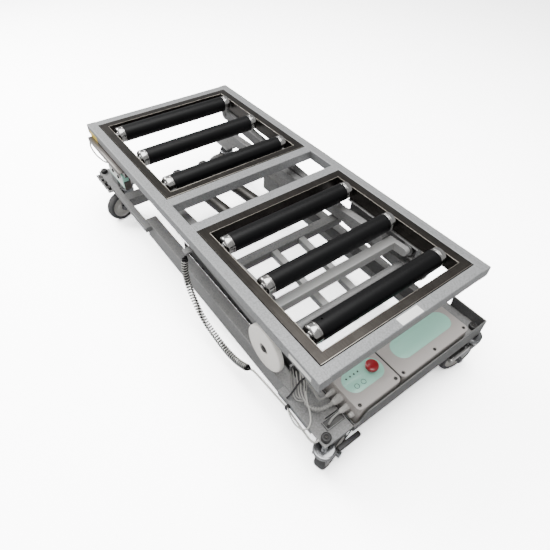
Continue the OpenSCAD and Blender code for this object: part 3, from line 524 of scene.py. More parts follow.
# %% Group: hammered enamel
hammered, w, entry, leave = new_group(
    "hammered", [("Vector", "Vector", None), ("Scale", "Float", 180)],
    [("Cells", "Float"), ("Height", "Float")])
bend = w.add("TexNoise", Vector=entry.outputs["Vector"], Scale=90.0, Detail=2.0)
shifted = w.add("VectorMath", {"operation": "ADD"}, in0=entry.outputs["Vector"])
nudge = w.add("VectorMath", {"operation": "SCALE"}, in0=bend.outputs["Color"], Scale=0.004)
w.feed(nudge.outputs[0], shifted, "in1")
cells = w.add("TexVoronoi", {"feature": "SMOOTH_F1"}, Vector=shifted.outputs[0],
              Scale=entry.outputs["Scale"], Smoothness=0.6)
w.feed(cells.outputs["Distance"], leave, "Cells")
w.feed(w.maths("SUBTRACT", 1.0, cells.outputs["Distance"]), leave, "Height")
print("group hammered:", len(hammered.nodes), "nodes")

# %% [markdown]
# A brushed or turned metal shows fine lines in one direction. Noise that is stretched
# far along one axis makes such lines, so the group squeezes two axes of the vector.

# %% Group: brushed metal
brushed, w, entry, leave = new_group(
    "brushed", [("Vector", "Vector", None), ("Stretch", "Vector", (4, 300, 300))],
    [("Lines", "Float"), ("Height", "Float")])
long_way = w.add("VectorMath", {"operation": "MULTIPLY"}, in0=entry.outputs["Vector"],
                 in1=entry.outputs["Stretch"])
lines = w.add("TexNoise", Vector=long_way.outputs[0], Scale=1.0, Detail=3.0, Roughness=0.7)
w.feed(lines.outputs["Fac"], leave, "Lines")
w.feed(lines.outputs["Fac"], leave, "Height")
print("group brushed:", len(brushed.nodes), "nodes")

# %% [markdown]
# Handling rubs paint off the edges, and the edges also take a painted highlight: the mask paints
# both, partly wear and partly the light that an edge catches. A Bevel node bends the normal near
# an edge, so where it differs from the true normal there is an edge, and some noise breaks the
# line up. The bent normal is given out too: it makes sharp CAD edges look broken.

# %% Group: rubbed edges with painted highlight
rubbed_edges_and_painted_highlight, w, entry, leave = new_group(
    "rubbed_edges_and_painted_highlight", [("Vector", "Vector", None), ("Radius", "Float", 0.0012),
                   ("Amount", "Float", 0.5)],
    [("Mask", "Float"), ("Normal", "Vector")])
soft = w.add("Bevel", {"samples": 4}, Radius=entry.outputs["Radius"])
true_way = w.add("NewGeometry")
agree = w.add("VectorMath", {"operation": "DOT_PRODUCT"}, in0=soft.outputs["Normal"],
              in1=true_way.outputs["Normal"])
edge = w.spread(agree.outputs["Value"], 0.98, 0.75, 0.0, 1.0)
chips = w.add("TexNoise", Vector=entry.outputs["Vector"], Scale=55.0, Detail=5.0)
patchy = w.spread(chips.outputs["Fac"], 0.3, 0.55, 0.1, 1.0)
w.feed(w.maths("MULTIPLY", w.maths("MULTIPLY", edge, patchy, True),
               entry.outputs["Amount"]), leave, "Mask")
w.feed(soft.outputs["Normal"], leave, "Normal")
print("group rubbed_edges_and_painted_highlight:", len(rubbed_edges_and_painted_highlight.nodes), "nodes")

# %% [markdown]
# Dust settles on what faces up. The true normal's height, times a cloudy noise, is the
# mask, and each finish says how much of it there is.

# %% Group: settled dust
settled_dust, w, entry, leave = new_group(
    "settled_dust", [("Vector", "Vector", None), ("Amount", "Float", 0.2)],
    [("Mask", "Float")])
true_way = w.add("NewGeometry")
axes = w.add("SeparateXYZ", Vector=true_way.outputs["Normal"])
upward = w.spread(axes.outputs["Z"], 0.3, 0.95, 0.0, 1.0)
cloud = w.add("TexNoise", Vector=entry.outputs["Vector"], Scale=14.0, Detail=6.0)
film = w.spread(cloud.outputs["Fac"], 0.35, 0.75, 0.15, 1.0)
w.feed(w.maths("MULTIPLY", w.maths("MULTIPLY", upward, film, True),
               entry.outputs["Amount"]), leave, "Mask")
print("group settled_dust:", len(settled_dust.nodes), "nodes")

# %% [markdown]
# One maker of finishes serves paint, metal, rubber and plastic. It mixes the base colour with
# rubbed edges, which also carry a painted highlight, and dust, lets the roughness follow the
# pattern, and feeds the relief through a Bump node into the shader. What is the same all over,
# such as how metallic it is, is set on the shader's own socket.

# %% Finish maker
DUST = rgb(176, 172, 164)


def finish(name, colour, rough=0.5, metallic=0.0, pattern="mottle", scale=60, amount=0.05,
           stretch=(4, 300, 300), relief=0.05, rub_and_painted_highlight=None, edge=1.2, dust=0.12,
           coat=0.0, specular=0.5):
    """A procedural material. Colours are 0 to 255, scale is per metre, edge is in mm, and relief
    is a bump strength. rub_and_painted_highlight is the lighter colour of the edges: partly wear,
    partly a painted highlight."""
    material = bpy.data.materials.new(name)
    material.use_nodes = True
    shader = material.node_tree.nodes["Principled BSDF"]
    wires = Wires(material.node_tree)

    def group(tree, **values):
        node = wires.add("Group")
        node.node_tree = tree
        for socket, value in values.items():
            wires.feed(value, node, socket)
        return node

    where = wires.add("TexCoord").outputs["Object"]
    base = group(mottle, Vector=where, Colour=rgb(*colour), Scale=scale, Amount=amount)
    shade, height, value = (base.outputs[n] for n in ("Colour", "Height", "Value"))
    if pattern == "hammered":
        cells = group(hammered, Vector=where, Scale=scale * 3)
        tone = wires.spread(cells.outputs["Cells"], 0.1, 0.8, 1.16, 0.74)
        tinted = wires.add("HueSaturation", Color=shade, Value=tone)
        shade, height, value = tinted.outputs["Color"], cells.outputs["Height"], tone
    elif pattern == "brushed":
        grain = group(brushed, Vector=where, Stretch=stretch)
        tone = wires.spread(grain.outputs["Lines"], 0.3, 0.7, 1 - amount * 2, 1 + amount * 2)
        tinted = wires.add("HueSaturation", Color=shade, Value=tone)
        shade, height, value = tinted.outputs["Color"], grain.outputs["Height"], \
            grain.outputs["Lines"]
    edge_rub_and_highlight = group(rubbed_edges_and_painted_highlight, Vector=where, Radius=edge * MM, Amount=0.7)
    # edges painted lighter: partly wear, partly a painted highlight
    if rub_and_painted_highlight:
        shade = wires.blend(edge_rub_and_highlight.outputs["Mask"], shade, rgb(*rub_and_painted_highlight))
    film = group(settled_dust, Vector=where, Amount=dust)
    shade = wires.blend(film.outputs["Mask"], shade, DUST)
    gloss = wires.spread(value, 0.2, 0.8, rough * 0.85, min(rough * 1.15, 1))
    gloss = wires.maths("ADD", gloss, wires.maths("MULTIPLY", film.outputs["Mask"], 0.4),
                        True)
    bump = wires.add("Bump", Strength=relief, Distance=0.0006, Height=height,
                     Normal=edge_rub_and_highlight.outputs["Normal"])
    wires.feed(shade, shader, "Base Color")
    wires.feed(gloss, shader, "Roughness")
    wires.feed(bump.outputs["Normal"], shader, "Normal")
    shader.inputs["Metallic"].default_value = metallic
    shader.inputs["Coat Weight"].default_value = coat
    shader.inputs["Specular IOR Level"].default_value = specular
    return material


print("finish maker ready")

# %% [markdown]
# Each finish of the trolley has a plain name, and a row of facts for the finish maker.
# The paints come first: hammered enamel on tubes, rails and the apron, smooth enamel on forks,
# spars and small sheets. Their edges are painted lighter: partly wear, partly a painted
# highlight.

# %% Paints
PAINTS = {
    "silver_enamel": dict(colour=(132, 133, 134), rough=0.42, metallic=0.35, pattern="hammered",
        scale=75, amount=0.03, relief=0.35, rub_and_painted_highlight=(212, 212, 212), edge=2.6, dust=0.06),
    "grey_enamel": dict(colour=(118, 118, 118), rough=0.46, metallic=0.3, pattern="hammered",
        scale=80, amount=0.04, relief=0.3, rub_and_painted_highlight=(196, 196, 196), edge=2.6),
    "arm_enamel": dict(colour=(136, 136, 136), rough=0.4, metallic=0.3, pattern="hammered",
        scale=80, amount=0.04, relief=0.3, rub_and_painted_highlight=(204, 204, 204), edge=2.6),
    "pale_enamel": dict(colour=(150, 150, 149), rough=0.38, metallic=0.1, scale=120, amount=0.03,
        relief=0.12, rub_and_painted_highlight=(212, 212, 212), edge=1.8),
    # dark grey; on the strips inside the rails and inside the slot channel it is painted shade
    "channel_grey": dict(colour=(74, 74, 74), rough=0.5, metallic=0.2, scale=120, amount=0.08,
        relief=0.1),
    "chassis_enamel": dict(colour=(124, 124, 124), rough=0.44, metallic=0.3, pattern="hammered",
        scale=80, relief=0.32, rub_and_painted_highlight=(208, 208, 208), edge=2.6, dust=0.16),
    "apron_enamel": dict(colour=(88, 88, 88), rough=0.46, metallic=0.2, pattern="hammered",
        scale=80, amount=0.04, relief=0.3, rub_and_painted_highlight=(190, 190, 190), edge=1.8),
}
print("paints:", len(PAINTS))

# %% [markdown]
# The metals are metallic all over or nearly so. On the brushed ones the lines run as the
# tool went: along a folded sheet, round a rod or a turned cap. Stretch gives that
# direction: the lines are longest on the axes that have the smallest number.

# %% Metals
METALS = {
    "dark_stainless": dict(colour=(48, 45, 42), rough=0.3, metallic=0.9, pattern="brushed",
        stretch=(5, 420, 420), amount=0.16, relief=0.12, rub_and_painted_highlight=(170, 166, 158), dust=0.04),
    "holder_steel": dict(colour=(104, 100, 96), rough=0.3, metallic=0.9, pattern="brushed",
        stretch=(5, 420, 420), amount=0.08, relief=0.1, dust=0.03),
    "turned_steel": dict(colour=(196, 196, 196), rough=0.28, metallic=1.0, pattern="brushed",
        stretch=(260, 260, 900), amount=0.06, relief=0.1, dust=0.03),
    "polished_cap": dict(colour=(178, 177, 175), rough=0.18, metallic=1.0, pattern="brushed",
        stretch=(30, 900, 30), dust=0.02),
    # bright metal on the frames' folds: a painted highlight
    "fold_painted_highlight": dict(colour=(168, 163, 154), rough=0.3, metallic=1.0, pattern="brushed",
        stretch=(40, 40, 300), amount=0.03, relief=0.04, dust=0.02),
    "wheel_steel": dict(colour=(150, 150, 150), rough=0.34, metallic=1.0, pattern="brushed",
        stretch=(300, 8, 300), amount=0.06, relief=0.1),
    "actuator_alloy": dict(colour=(70, 69, 67), rough=0.4, metallic=0.85, scale=200, relief=0.12),
    "bright_rod": dict(colour=(120, 120, 121), rough=0.2, metallic=1.0, pattern="brushed",
        stretch=(900, 40, 40), amount=0.02, relief=0.03, dust=0.02),
    "zinc": dict(colour=(132, 133, 135), rough=0.2, metallic=1.0, scale=130, dust=0.06, edge=0.8),
    "dark_bolt": dict(colour=(52, 51, 50), rough=0.42, metallic=0.8, scale=400, amount=0.1,
        relief=0.1, rub_and_painted_highlight=(140, 140, 140), edge=0.5),
}
print("metals:", len(METALS))

# %% [markdown]
# Rubber, moulded plastic, cord jackets, films and labels aren't metallic. They differ in
# gloss and in how fine their grain is, and a clear coat lies on the shiny ones.

# %% Rubber, plastic, cords and labels
MOULDED = {
    "roller_rubber": dict(colour=(6, 6, 7), rough=0.45, pattern="brushed", stretch=(14, 3, 14),
        amount=0.06, relief=0.02, dust=0.0, edge=0.8, specular=0.16),
    # black for the gaps round the roller frames: painted shade
    "gap_painted_shade": dict(colour=(3, 3, 3), rough=0.7, scale=200, amount=0.1, dust=0.0,
        specular=0.05),
    "cord_white": dict(colour=(176, 175, 170), rough=0.42, scale=160, amount=0.04, relief=0.06,
        dust=0.1, edge=0.3),
    # painted shade for the inner side of the curls
    "coil_painted_shade": dict(colour=(22, 22, 22), rough=0.6, scale=160, amount=0.04, relief=0.04,
        dust=0.0, edge=0.3, specular=0.1),
    "cable_grey": dict(colour=(138, 137, 134), rough=0.45, scale=150, relief=0.06, edge=0.3),
    "nylon": dict(colour=(247, 244, 237), rough=0.36, pattern="brushed", stretch=(420, 60, 420),
        amount=0.02, relief=0.08, dust=0.08),
    "motor_black": dict(colour=(38, 38, 40), rough=0.5, scale=260, amount=0.06, relief=0.14),
    "black_plastic": dict(colour=(13, 13, 14), rough=0.45, scale=320, amount=0.06, relief=0.12,
        dust=0.06),
    "warm_plastic": dict(colour=(162, 157, 153), rough=0.52, scale=900, amount=0.03, relief=0.2,
        dust=0.06, edge=1.4, rub_and_painted_highlight=(214, 211, 206)),
    "mint_film": dict(colour=(152, 205, 186), rough=0.32, scale=500, amount=0.02, dust=0.05,
        edge=0.3, coat=0.3),
    "mint_plastic": dict(colour=(160, 214, 196), rough=0.22, scale=300, amount=0.02, relief=0.04,
        dust=0.02, coat=0.5),
    "white_plastic": dict(colour=(226, 228, 224), rough=0.3, scale=300, amount=0.02, dust=0.03,
        coat=0.2),
    "plug_grey": dict(colour=(170, 168, 164), rough=0.45, scale=400, amount=0.04, relief=0.12),
    "stop_red": dict(colour=(140, 10, 24), rough=0.3, scale=260, relief=0.06, dust=0.04,
        coat=0.3),
    "grey_tyre": dict(colour=(60, 60, 61), rough=0.6, scale=220, amount=0.06, relief=0.16,
        dust=0.2),
    "label_white": dict(colour=(232, 232, 228), rough=0.45, scale=300, amount=0.02, relief=0.04,
        edge=0.2),
    "label_yellow": dict(colour=(222, 192, 70), rough=0.45, scale=300, amount=0.03, relief=0.04,
        edge=0.2),
}
finishes = {name: finish(name, **facts)
            for name, facts in (PAINTS | METALS | MOULDED).items()}
print("finishes:", len(finishes))

# %% [markdown]
# The CAD solids that keep their shape only need a finish, and each one is named with its
# finish here. A CAD mesh is never changed: only the material in its slot is.

# %% Finishes of the CAD solids
CAD_FINISH = {
    "silver_enamel": ["deck_side_tubes", "deck_cross_tubes"],
    "dark_stainless": ["roller_frame_rear", "roller_frame_front"],
    "turned_steel": ["roller_axles"] + ["roller_caps_%d" % i for i in range(1, 7)],
    "roller_rubber": ["roller_sleeve_%d" % i for i in range(1, 7)],
    "grey_enamel": ["deck_hangers", "arm_b_tubes", "arm_b_cross_tubes", "cord_bracket"],
    "arm_enamel": ["arm_a_tubes", "arm_a_cross_tubes"],
    "pale_enamel": ["arm_a_forks", "arm_b_spars"],
    "holder_steel": ["hand_holder"],
    "nylon": ["nylon_wheel_left", "nylon_wheel_right"],
    "wheel_steel": ["track_wheel_left", "track_wheel_right"],
    "actuator_alloy": ["actuator_housings"],
    "motor_black": ["actuator_motors"],
    "bright_rod": ["actuator_rods"],
    "chassis_enamel": ["side_rails", "corner_legs", "chassis_cross_tubes", "side_step"],
    "apron_enamel": ["front_apron"],
    "mint_plastic": ["hand_control"],
    "white_plastic": ["hand_button_up", "hand_button_down"],
    "cord_white": ["hand_lead", "coil_cord", "cord_tail"],
    "cable_grey": ["box_leads"],
    "warm_plastic": ["control_box", "battery_box"],
    "plug_grey": ["box_plugs"],
    "stop_red": ["stop_button"],
    "zinc": ["caster_fork_%d" % i for i in range(1, 5)],
    "grey_tyre": ["caster_wheel_%d" % i for i in range(1, 5)],
    "black_plastic": ["corner_knobs", "brake_pedal_1", "brake_pedal_2"],
}
for name, solids in CAD_FINISH.items():
    for solid in solids:
        for slot in nodes[solid].material_slots:
            slot.material = finishes[name]
        if not nodes[solid].material_slots:
            nodes[solid].data.materials.append(finishes[name])
covered = sum(len(solids) for solids in CAD_FINISH.values())
print("CAD nodes with a finish:", covered, "of", len(nodes))

# %% [markdown]
# The cords get theirs next. The curls are painted darker on the side that faces their middle, as
# painted shade, so the faces near the coil's own axis take a second finish.
# A KD tree holds points of that axis, and says how far a face is from the nearest one.

# %% Finishes of the cords
AXIS_POINTS = 401
PAST_MIDDLE = 2.0     # mm that the dark side reaches past the lead's own middle


def give(piece, *names):
    """Puts a finish on a whole piece; any further one waits in the next slot."""
    piece.data.materials.clear()
    for name in names:
        piece.data.materials.append(finishes[name])


def two_tone(piece, names, test):
    """Two finishes on one piece: faces that pass the test get the second."""
    give(piece, *names)
    for face in piece.data.polygons:
        face.material_index = 1 if test(face) else 0


axis = KDTree(AXIS_POINTS)
for i, place in enumerate(coil.spaced(AXIS_POINTS)):
    axis.insert(at(*place), i)
axis.balance()
inner = ((COIL_D - LEAD_D) / 2 + PAST_MIDDLE) * MM
tail_start = at(*TAIL_ROUTE[0]).x
# faces inside the curls take the painted shade
two_tone(hanging_cord, ("cord_white", "coil_painted_shade"),
         lambda f: axis.find(f.center)[2] < inner and f.center.x < tail_start)
give(hand_cord, "cord_white")
for piece in (box_conduit, motor_lead, plate_lead):
    give(piece, "cable_grey")
for i in range(1, len(FAN) + 1):
    give(bpy.data.objects["thin_cable_%d" % i], "plug_grey" if i % 2 else "cable_grey")
give(loop_lead, "cord_white")
give(cable_strap, "black_plastic")
dark = sum(face.material_index for face in hanging_cord.data.polygons)
print("dark faces inside the curls:", dark, "of", len(hanging_cord.data.polygons))

# %% [markdown]
# The remaining pieces are modelled as by hand: a primitive is added at its size and
# place, faces and edges are selected by where they lie, and extrude, inset and bevel
# shape them. These few helpers do the selecting, and put a piece's place into its mesh.

# %% Selecting and settling
def only(piece):
    """Back to object mode, with this piece alone selected and active."""
    if bpy.context.mode != "OBJECT":
        bpy.ops.object.mode_set(mode="OBJECT")
    bpy.ops.object.select_all(action="DESELECT")
    if piece:
        piece.select_set(True)
        bpy.context.view_layer.objects.active = piece


def pick(kind, test):
    """In edit mode: selects the faces, edges or vertices that pass the test."""
    bpy.ops.mesh.select_mode(type=kind)
    bpy.ops.mesh.select_all(action="DESELECT")
    mesh = bmesh.from_edit_mesh(bpy.context.object.data)
    parts = {"FACE": mesh.faces, "EDGE": mesh.edges, "VERT": mesh.verts}[kind]
    for part in parts:
        if test(part):
            part.select_set(True)
    mesh.select_flush_mode()
    bmesh.update_edit_mesh(bpy.context.object.data)


def edit(piece):
    only(piece)
    bpy.ops.object.mode_set(mode="EDIT")


def settle(piece, where=None):
    """Puts the piece's place, turn and scale into its mesh."""
    only(piece)
    if where is not None:
        piece.matrix_world = where @ piece.matrix_world
    bpy.ops.object.transform_apply(location=True, rotation=True, scale=True)
    return piece


print("selecting helpers ready")

# %% [markdown]
# Sheet, bar and moulded boxes all begin as a slab between two corners of the drawing.
# Chosen edges are rounded, a top can be stepped in and up or down, and a Bevel modifier
# breaks all sharp edges at once, as a file or a mould does.

# %% Slabs and their edges
SHARP = math.radians(40)


def slab(name, low, high):
    """A cube added at its size and place, between two corners of the drawing."""
    only(None)
    one, two = at(*low), at(*high)
    bpy.ops.mesh.primitive_cube_add(size=1, location=(one + two) / 2, scale=two - one)
    bpy.context.object.name = name
    return settle(bpy.context.object)


def along(edge, axis):
    way = edge.verts[1].co - edge.verts[0].co
    return way.length > 1e-6 and abs(way[axis]) / way.length > 0.99


def above(edge, z):
    return all(vert.co.z > z * MM for vert in edge.verts)


def round_edges(piece, test, radius, segments):
    edit(piece)
    pick("EDGE", test)
    bpy.ops.mesh.bevel(offset=radius * MM, segments=segments, affect="EDGES")
    only(piece)


def step_top(piece, wall, rise):
    """Insets the top face by the width of a wall, and moves it up or down."""
    edit(piece)
    pick("FACE", lambda f: f.normal.z > 0.9)
    bpy.ops.mesh.inset(thickness=wall * MM)
    bpy.ops.mesh.extrude_region_move(TRANSFORM_OT_translate={"value": (0, 0, rise * MM)})
    only(piece)


def break_edges(piece, width, segments):
    """A Bevel modifier on every sharp edge, applied."""
    only(piece)
    bevel = piece.modifiers.new("edges", "BEVEL")
    bevel.width = width * MM
    bevel.segments = segments
    bevel.limit_method = "ANGLE"
    bevel.angle_limit = SHARP
    bpy.ops.object.modifier_apply(modifier="edges")


print("slab helpers ready")

# %% [markdown]
# Wheels, knobs, screws and caps are round, so they are made as on a lathe. A ring is
# extruded and resized step by step along an outline of radii and heights, which keeps
# every step true to the drawing. A face's angle then tells which step round it is.

# %% Lathe
def turned(name, outline, sides, closed=False):
    """A lathe piece on the Z axis: a ring is extruded and resized to each radius and
    height of the outline. A closed outline returns to its start; others get caps."""
    only(None)
    radius, height = outline[0]
    bpy.ops.mesh.primitive_circle_add(vertices=sides, radius=radius * MM,
                                      location=(0, 0, height * MM))
    piece = bpy.context.object
    piece.name = name
    edit(piece)
    bpy.ops.mesh.select_all(action="SELECT")
    if not closed:
        bpy.ops.mesh.edge_face_add()
        bpy.ops.mesh.select_mode(type="EDGE")
    for next_radius, next_height in outline[1:] + (outline[:1] if closed else []):
        bpy.ops.mesh.extrude_edges_move(
            TRANSFORM_OT_translate={"value": (0, 0, (next_height - height) * MM)})
        if abs(next_radius - radius) > 1e-9:
            size = next_radius / radius
            bpy.ops.transform.resize(value=(size, size, 1),
                                     center_override=(0, 0, next_height * MM))
        radius, height = next_radius, next_height
    if not closed:
        bpy.ops.mesh.edge_face_add()
    bpy.ops.mesh.select_all(action="SELECT")
    bpy.ops.mesh.remove_doubles(threshold=1e-6)
    bpy.ops.mesh.normals_make_consistent(inside=False)
    only(piece)
    return settle(piece)


def ring_step(face, sides):
    """Which of the sides of a lathe piece on the Z axis the face belongs to."""
    middle = face.calc_center_median()
    return int((math.atan2(middle.y, middle.x) + math.pi) / (2 * math.pi / sides))


SIDEWAYS = Matrix.Rotation(math.radians(90), 4, "X")     # a lathe piece laid along -Y
OTHER_SIDE = Matrix.Rotation(math.radians(-90), 4, "X")  # a lathe piece laid along +Y
print("lathe ready")

# %% [markdown]
# What repeats is modelled once and copied, each copy with its own mesh, and the master goes.
# Small parts that move together are joined. The last steps are the same for every piece: smooth
# shading up to an angle, its finish, the body it rides on, and hiding the CAD solids it stands
# for.

# %% Copies and last steps
def copied(piece, name, where):
    """A copy with a mesh of its own, put in its place."""
    twin = piece.copy()
    twin.data = piece.data.copy()
    twin.name = name
    bpy.context.scene.collection.objects.link(twin)
    return settle(twin, where)


def drop(*masters):
    """Removes the masters whose copies stand in their places."""
    for master in masters:
        bpy.data.objects.remove(master)


def joined(name, pieces):
    only(pieces[0])
    for piece in pieces:
        piece.select_set(True)
    bpy.ops.object.join()
    bpy.context.object.name = name
    return bpy.context.object


def done(piece, body, coat, stands_for=(), smooth=35):
    """The last steps for each piece: shading, finish, body, and hiding the CAD solids it stands
    for.
    """
    only(piece)
    bpy.ops.object.shade_smooth_by_angle(angle=math.radians(smooth))
    if coat:
        give(piece, coat)
    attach(piece, body)
    if stands_for:
        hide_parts(*stands_for)
    triangles = sum(len(face.vertices) - 2 for face in piece.data.polygons)
    print(piece.name, "rides on", body, "with", triangles, "triangles")


print("modelling helpers ready")

# %% [markdown]
# The control box and the battery are moulded housings with a lid each. A slab gets round corners,
# its top is inset and pulled up to leave a shadow line, and a second slab with a rounded top edge
# is the lid. The lid's screw wells are cut by a Boolean. A black strip stands in the gap between
# the two boxes: painted shade, a dark sheet where the gap is in shadow.

# %% Box housings
BOX_X = (606, 753)
BOX_Z = (155, 221)
LID_Z = (223, 230)
CONTROL_Y = (-207, -47)
BATTERY_Y = (-42, 246)
CORNER_R = 14
SCREW_IN = 13
LONG_LID = 200
STOP_SPOT = spot(679, -94)


def screw_places(y_low, y_high):
    """Four corner screws, and a middle pair on a long lid."""
    rows = [y_low + SCREW_IN, y_high - SCREW_IN]
    if y_high - y_low > LONG_LID:
        rows.append((y_low + y_high) / 2)
    return [(x, y) for x in (BOX_X[0] + SCREW_IN, BOX_X[1] - SCREW_IN) for y in rows]


def housing(name, y_low, y_high):
    body = slab(name, (BOX_X[0], y_low, BOX_Z[0]), (BOX_X[1], y_high, BOX_Z[1]))
    round_edges(body, lambda e: along(e, 2), CORNER_R, 8)
    step_top(body, 1.6, 2.2)
    lid = slab("lid", (BOX_X[0], y_low, LID_Z[0]), (BOX_X[1], y_high, LID_Z[1]))
    round_edges(lid, lambda e: along(e, 2), CORNER_R, 8)
    round_edges(lid, lambda e: above(e, LID_Z[1] - 0.1), 2.4, 4)
    wells = [settle(turned("well", [(5.4, 226.5), (5.9, 231)], 28), spot(x, y))
             for x, y in screw_places(y_low, y_high)]
    cutter = joined("cutter", wells)
    only(lid)
    cut = lid.modifiers.new("wells", "BOOLEAN")
    cut.operation = "DIFFERENCE"
    cut.solver = "EXACT"
    cut.object = cutter
    bpy.ops.object.modifier_apply(modifier="wells")
    drop(cutter)
    return joined(name, [body, lid])


battery_housing = housing("battery_housing", *BATTERY_Y)
done(battery_housing, "chassis", "warm_plastic", ["battery_box"])
control_housing = housing("control_housing", *CONTROL_Y)
collar = settle(turned("collar", [(13, 229), (13, 235), (12.2, 236), (8, 236)], 40), STOP_SPOT)
control_housing = joined("control_housing", [control_housing, collar])
done(control_housing, "chassis", "warm_plastic", ["control_box"])
# a black strip in the gap between the boxes: painted shade
seam = slab("box_gap_shade", (611, -46.9, 158), (746, -42.1, 227.6))
break_edges(seam, 0.4, 2)
done(seam, "chassis", "black_plastic")

# %% [markdown]
# Ten dark screws hold the lids. One is turned with a rounded head, its socket is inset
# and pushed in, and it is copied into every well. The inner ones stand a millimetre
# nearer to the seam between the boxes than the middle of their wells.

# %% Lid screws
def socket_screw(name, radius, height):
    """A round head that stands on height 0, with a socket pushed into its top."""
    head = turned(name, [(radius, 0), (radius, height * 0.6), (radius * 0.86, height * 0.92),
                         (radius * 0.5, height)], 24)
    edit(head)
    pick("FACE", lambda f: f.normal.z > 0.95 and len(f.verts) > 8)
    bpy.ops.mesh.inset(thickness=radius * 0.06 * MM)
    bpy.ops.mesh.extrude_region_move(
        TRANSFORM_OT_translate={"value": (0, 0, -height * 0.55 * MM)})
    only(head)
    return head


TO_SEAM = 1
WELL_FLOOR = 226.6
screw = socket_screw("screw", 4.9, 3.0)
places = screw_places(CONTROL_Y[0], CONTROL_Y[1] + TO_SEAM)
places += screw_places(BATTERY_Y[0] - TO_SEAM, BATTERY_Y[1])
screws = [copied(screw, "lid_screw", spot(x, y, WELL_FLOOR)) for x, y in places]
drop(screw)
done(joined("lid_screws", screws), "chassis", "dark_bolt")

# %% [markdown]
# Both lids carry a mint film, and the control box's film has plain round keys and
# rings. Each film is a thin slab whose corners are rounded until its ends are almost
# half circles. Fourteen steps to a corner keep the outline smooth from near by.

# %% Mint films
FILM_THICK = 0.5


def film_plate(name, low, high, radius):
    plate = slab(name, (*low, LID_Z[1]), (*high, LID_Z[1] + FILM_THICK))
    round_edges(plate, lambda e: along(e, 2), radius, 14)
    round_edges(plate, lambda e: above(e, LID_Z[1] + 0.3), 0.2, 2)
    return plate


battery_film = film_plate("battery_film", (648, -6), (716, 226), 32)
done(battery_film, "chassis", "mint_film")
control_film = film_plate("control_film", (646, -192), (714, -58), 32)
done(control_film, "chassis", "mint_film")
dots = []
for place in ((664, -172), (664, -158), (664, -144), (664, -130)):
    dot = turned("dot", [(2.6, 230.4), (2.6, 231.0), (2.2, 231.3)], 20)
    dots.append(settle(dot, spot(*place)))
for place in ((696, -162), (696, -138)):
    ring = turned("ring", [(7.4, 230.4), (7.4, 230.9), (6.2, 230.9), (6.2, 230.4)], 32, True)
    dots.append(settle(ring, spot(*place)))
done(joined("film_keys", dots), "chassis", "black_plastic")

# %% [markdown]
# The stop button is a red mushroom. Its head is turned, and every second face of the
# rim is pushed in a little, which gives the ribs that fingers grip.

# %% Stop button
mushroom = turned("stop_mushroom",
                  [(7, 208), (7, 241), (16.5, 241), (18.4, 242), (19, 244), (19, 248.5),
                   (18.2, 250.6), (16, 252), (10, 252.8), (2, 253)], 48)
edit(mushroom)
pick("FACE", lambda f: abs(f.normal.z) < 0.05 and f.calc_center_median().z > 0.244
     and f.calc_center_median().xy.length > 0.018 and ring_step(f, 48) % 2 == 0)
bpy.ops.mesh.inset(thickness=0.25 * MM, depth=-0.7 * MM, use_individual=True)
only(mushroom)
settle(mushroom, STOP_SPOT)
done(mushroom, "stop_button", "stop_red", ["stop_button"], smooth=30)

# %% [markdown]
# A black knob caps each corner. It is turned with a round shoulder and a dished
# middle, and a socket screw sits in the dish. The clip that holds the straight cord
# against the left leg is a small block with its edges rounded.

# %% Corner knobs and cord clip
knob = turned("knob", [(13, 178), (14, 179), (14, 187), (13.2, 189.4), (11.4, 190.8),
                       (8, 191), (6.4, 190.4), (6, 188.4)], 40)
knob_screw = socket_screw("knob_screw", 4.4, 3.4)
KNOBS = [(742, -304), (742, 304), (-702, -304), (-702, 304)]
DISH_Z = 187.8
caps = [copied(knob, "cap", spot(x, y)) for x, y in KNOBS]
clip = slab("clip", (607, -336, 163), (617, -322, 177))
break_edges(clip, 2.2, 3)
done(joined("corner_caps", caps + [clip]), "chassis", "black_plastic",
     ["corner_knobs"])
tops = [copied(knob_screw, "top", spot(x, y, DISH_Z)) for x, y in KNOBS]
drop(knob, knob_screw)
done(joined("cap_screws", tops), "chassis", "dark_bolt")

# %% [markdown]
# The casters' wheels have a soft grey tyre on a moulded rim. Both are turned from an
# outline, once, lying on the wheel's own axis. Each caster has its swivel axis and the
# angle at which its wheel trails, as in the CAD, and that one placement serves every
# piece that belongs to the caster.

# %% Caster tyres and rims
CASTERS = {1: (750, -312, 105), 2: (750, 312, -100), 3: (-615, -255, -75),
           4: (-615, 255, -95)}
TRAIL = 45
AXLE_Z = 62.5


def caster_place(number):
    x, y, angle = CASTERS[number]
    return spot(x, y) @ Matrix.Rotation(math.radians(angle), 4, "Z")


def axle_place(number):
    return caster_place(number) @ Matrix.Translation((TRAIL * MM, 0, AXLE_Z * MM)) @ SIDEWAYS


def mirrored(outline):
    """An outline from one side to the middle, continued to the other side."""
    return outline + [(radius, -height) for radius, height in reversed(outline)]


tyre = turned("tyre", mirrored([(46, -13), (48, -15.5), (55, -17), (58.8, -15.6),
                                (61.2, -12), (62.3, -7), (62.5, -2.5)]), 64, True)
rim = turned("rim", mirrored([(6.6, -19.5), (11, -19.7), (13.5, -18.6), (14.5, -16),
                              (20, -15.4), (22, -13), (25, -10.4), (40, -10.4),
                              (43, -13), (45, -15.6), (47, -15.2), (47, -12)]), 56, True)
for i in CASTERS:
    wheel = "caster_wheel_%d" % i
    done(copied(tyre, "caster_tyre_%d" % i, axle_place(i)), wheel, "grey_tyre",
         [wheel])
    done(copied(rim, "caster_rim_%d" % i, axle_place(i)), wheel, "plug_grey")
drop(tyre, rim)

# %% [markdown]
# A bolt head is a six-sided cylinder whose top corners are broken, on a turned washer.
# The same helper serves the ends of the casters' axles and the nylon wheels.

# %% Bolt heads
HEX_FLAT = 0.866     # a hexagon's flats are nearer to its middle than its corners
AXLE_END = 28.2


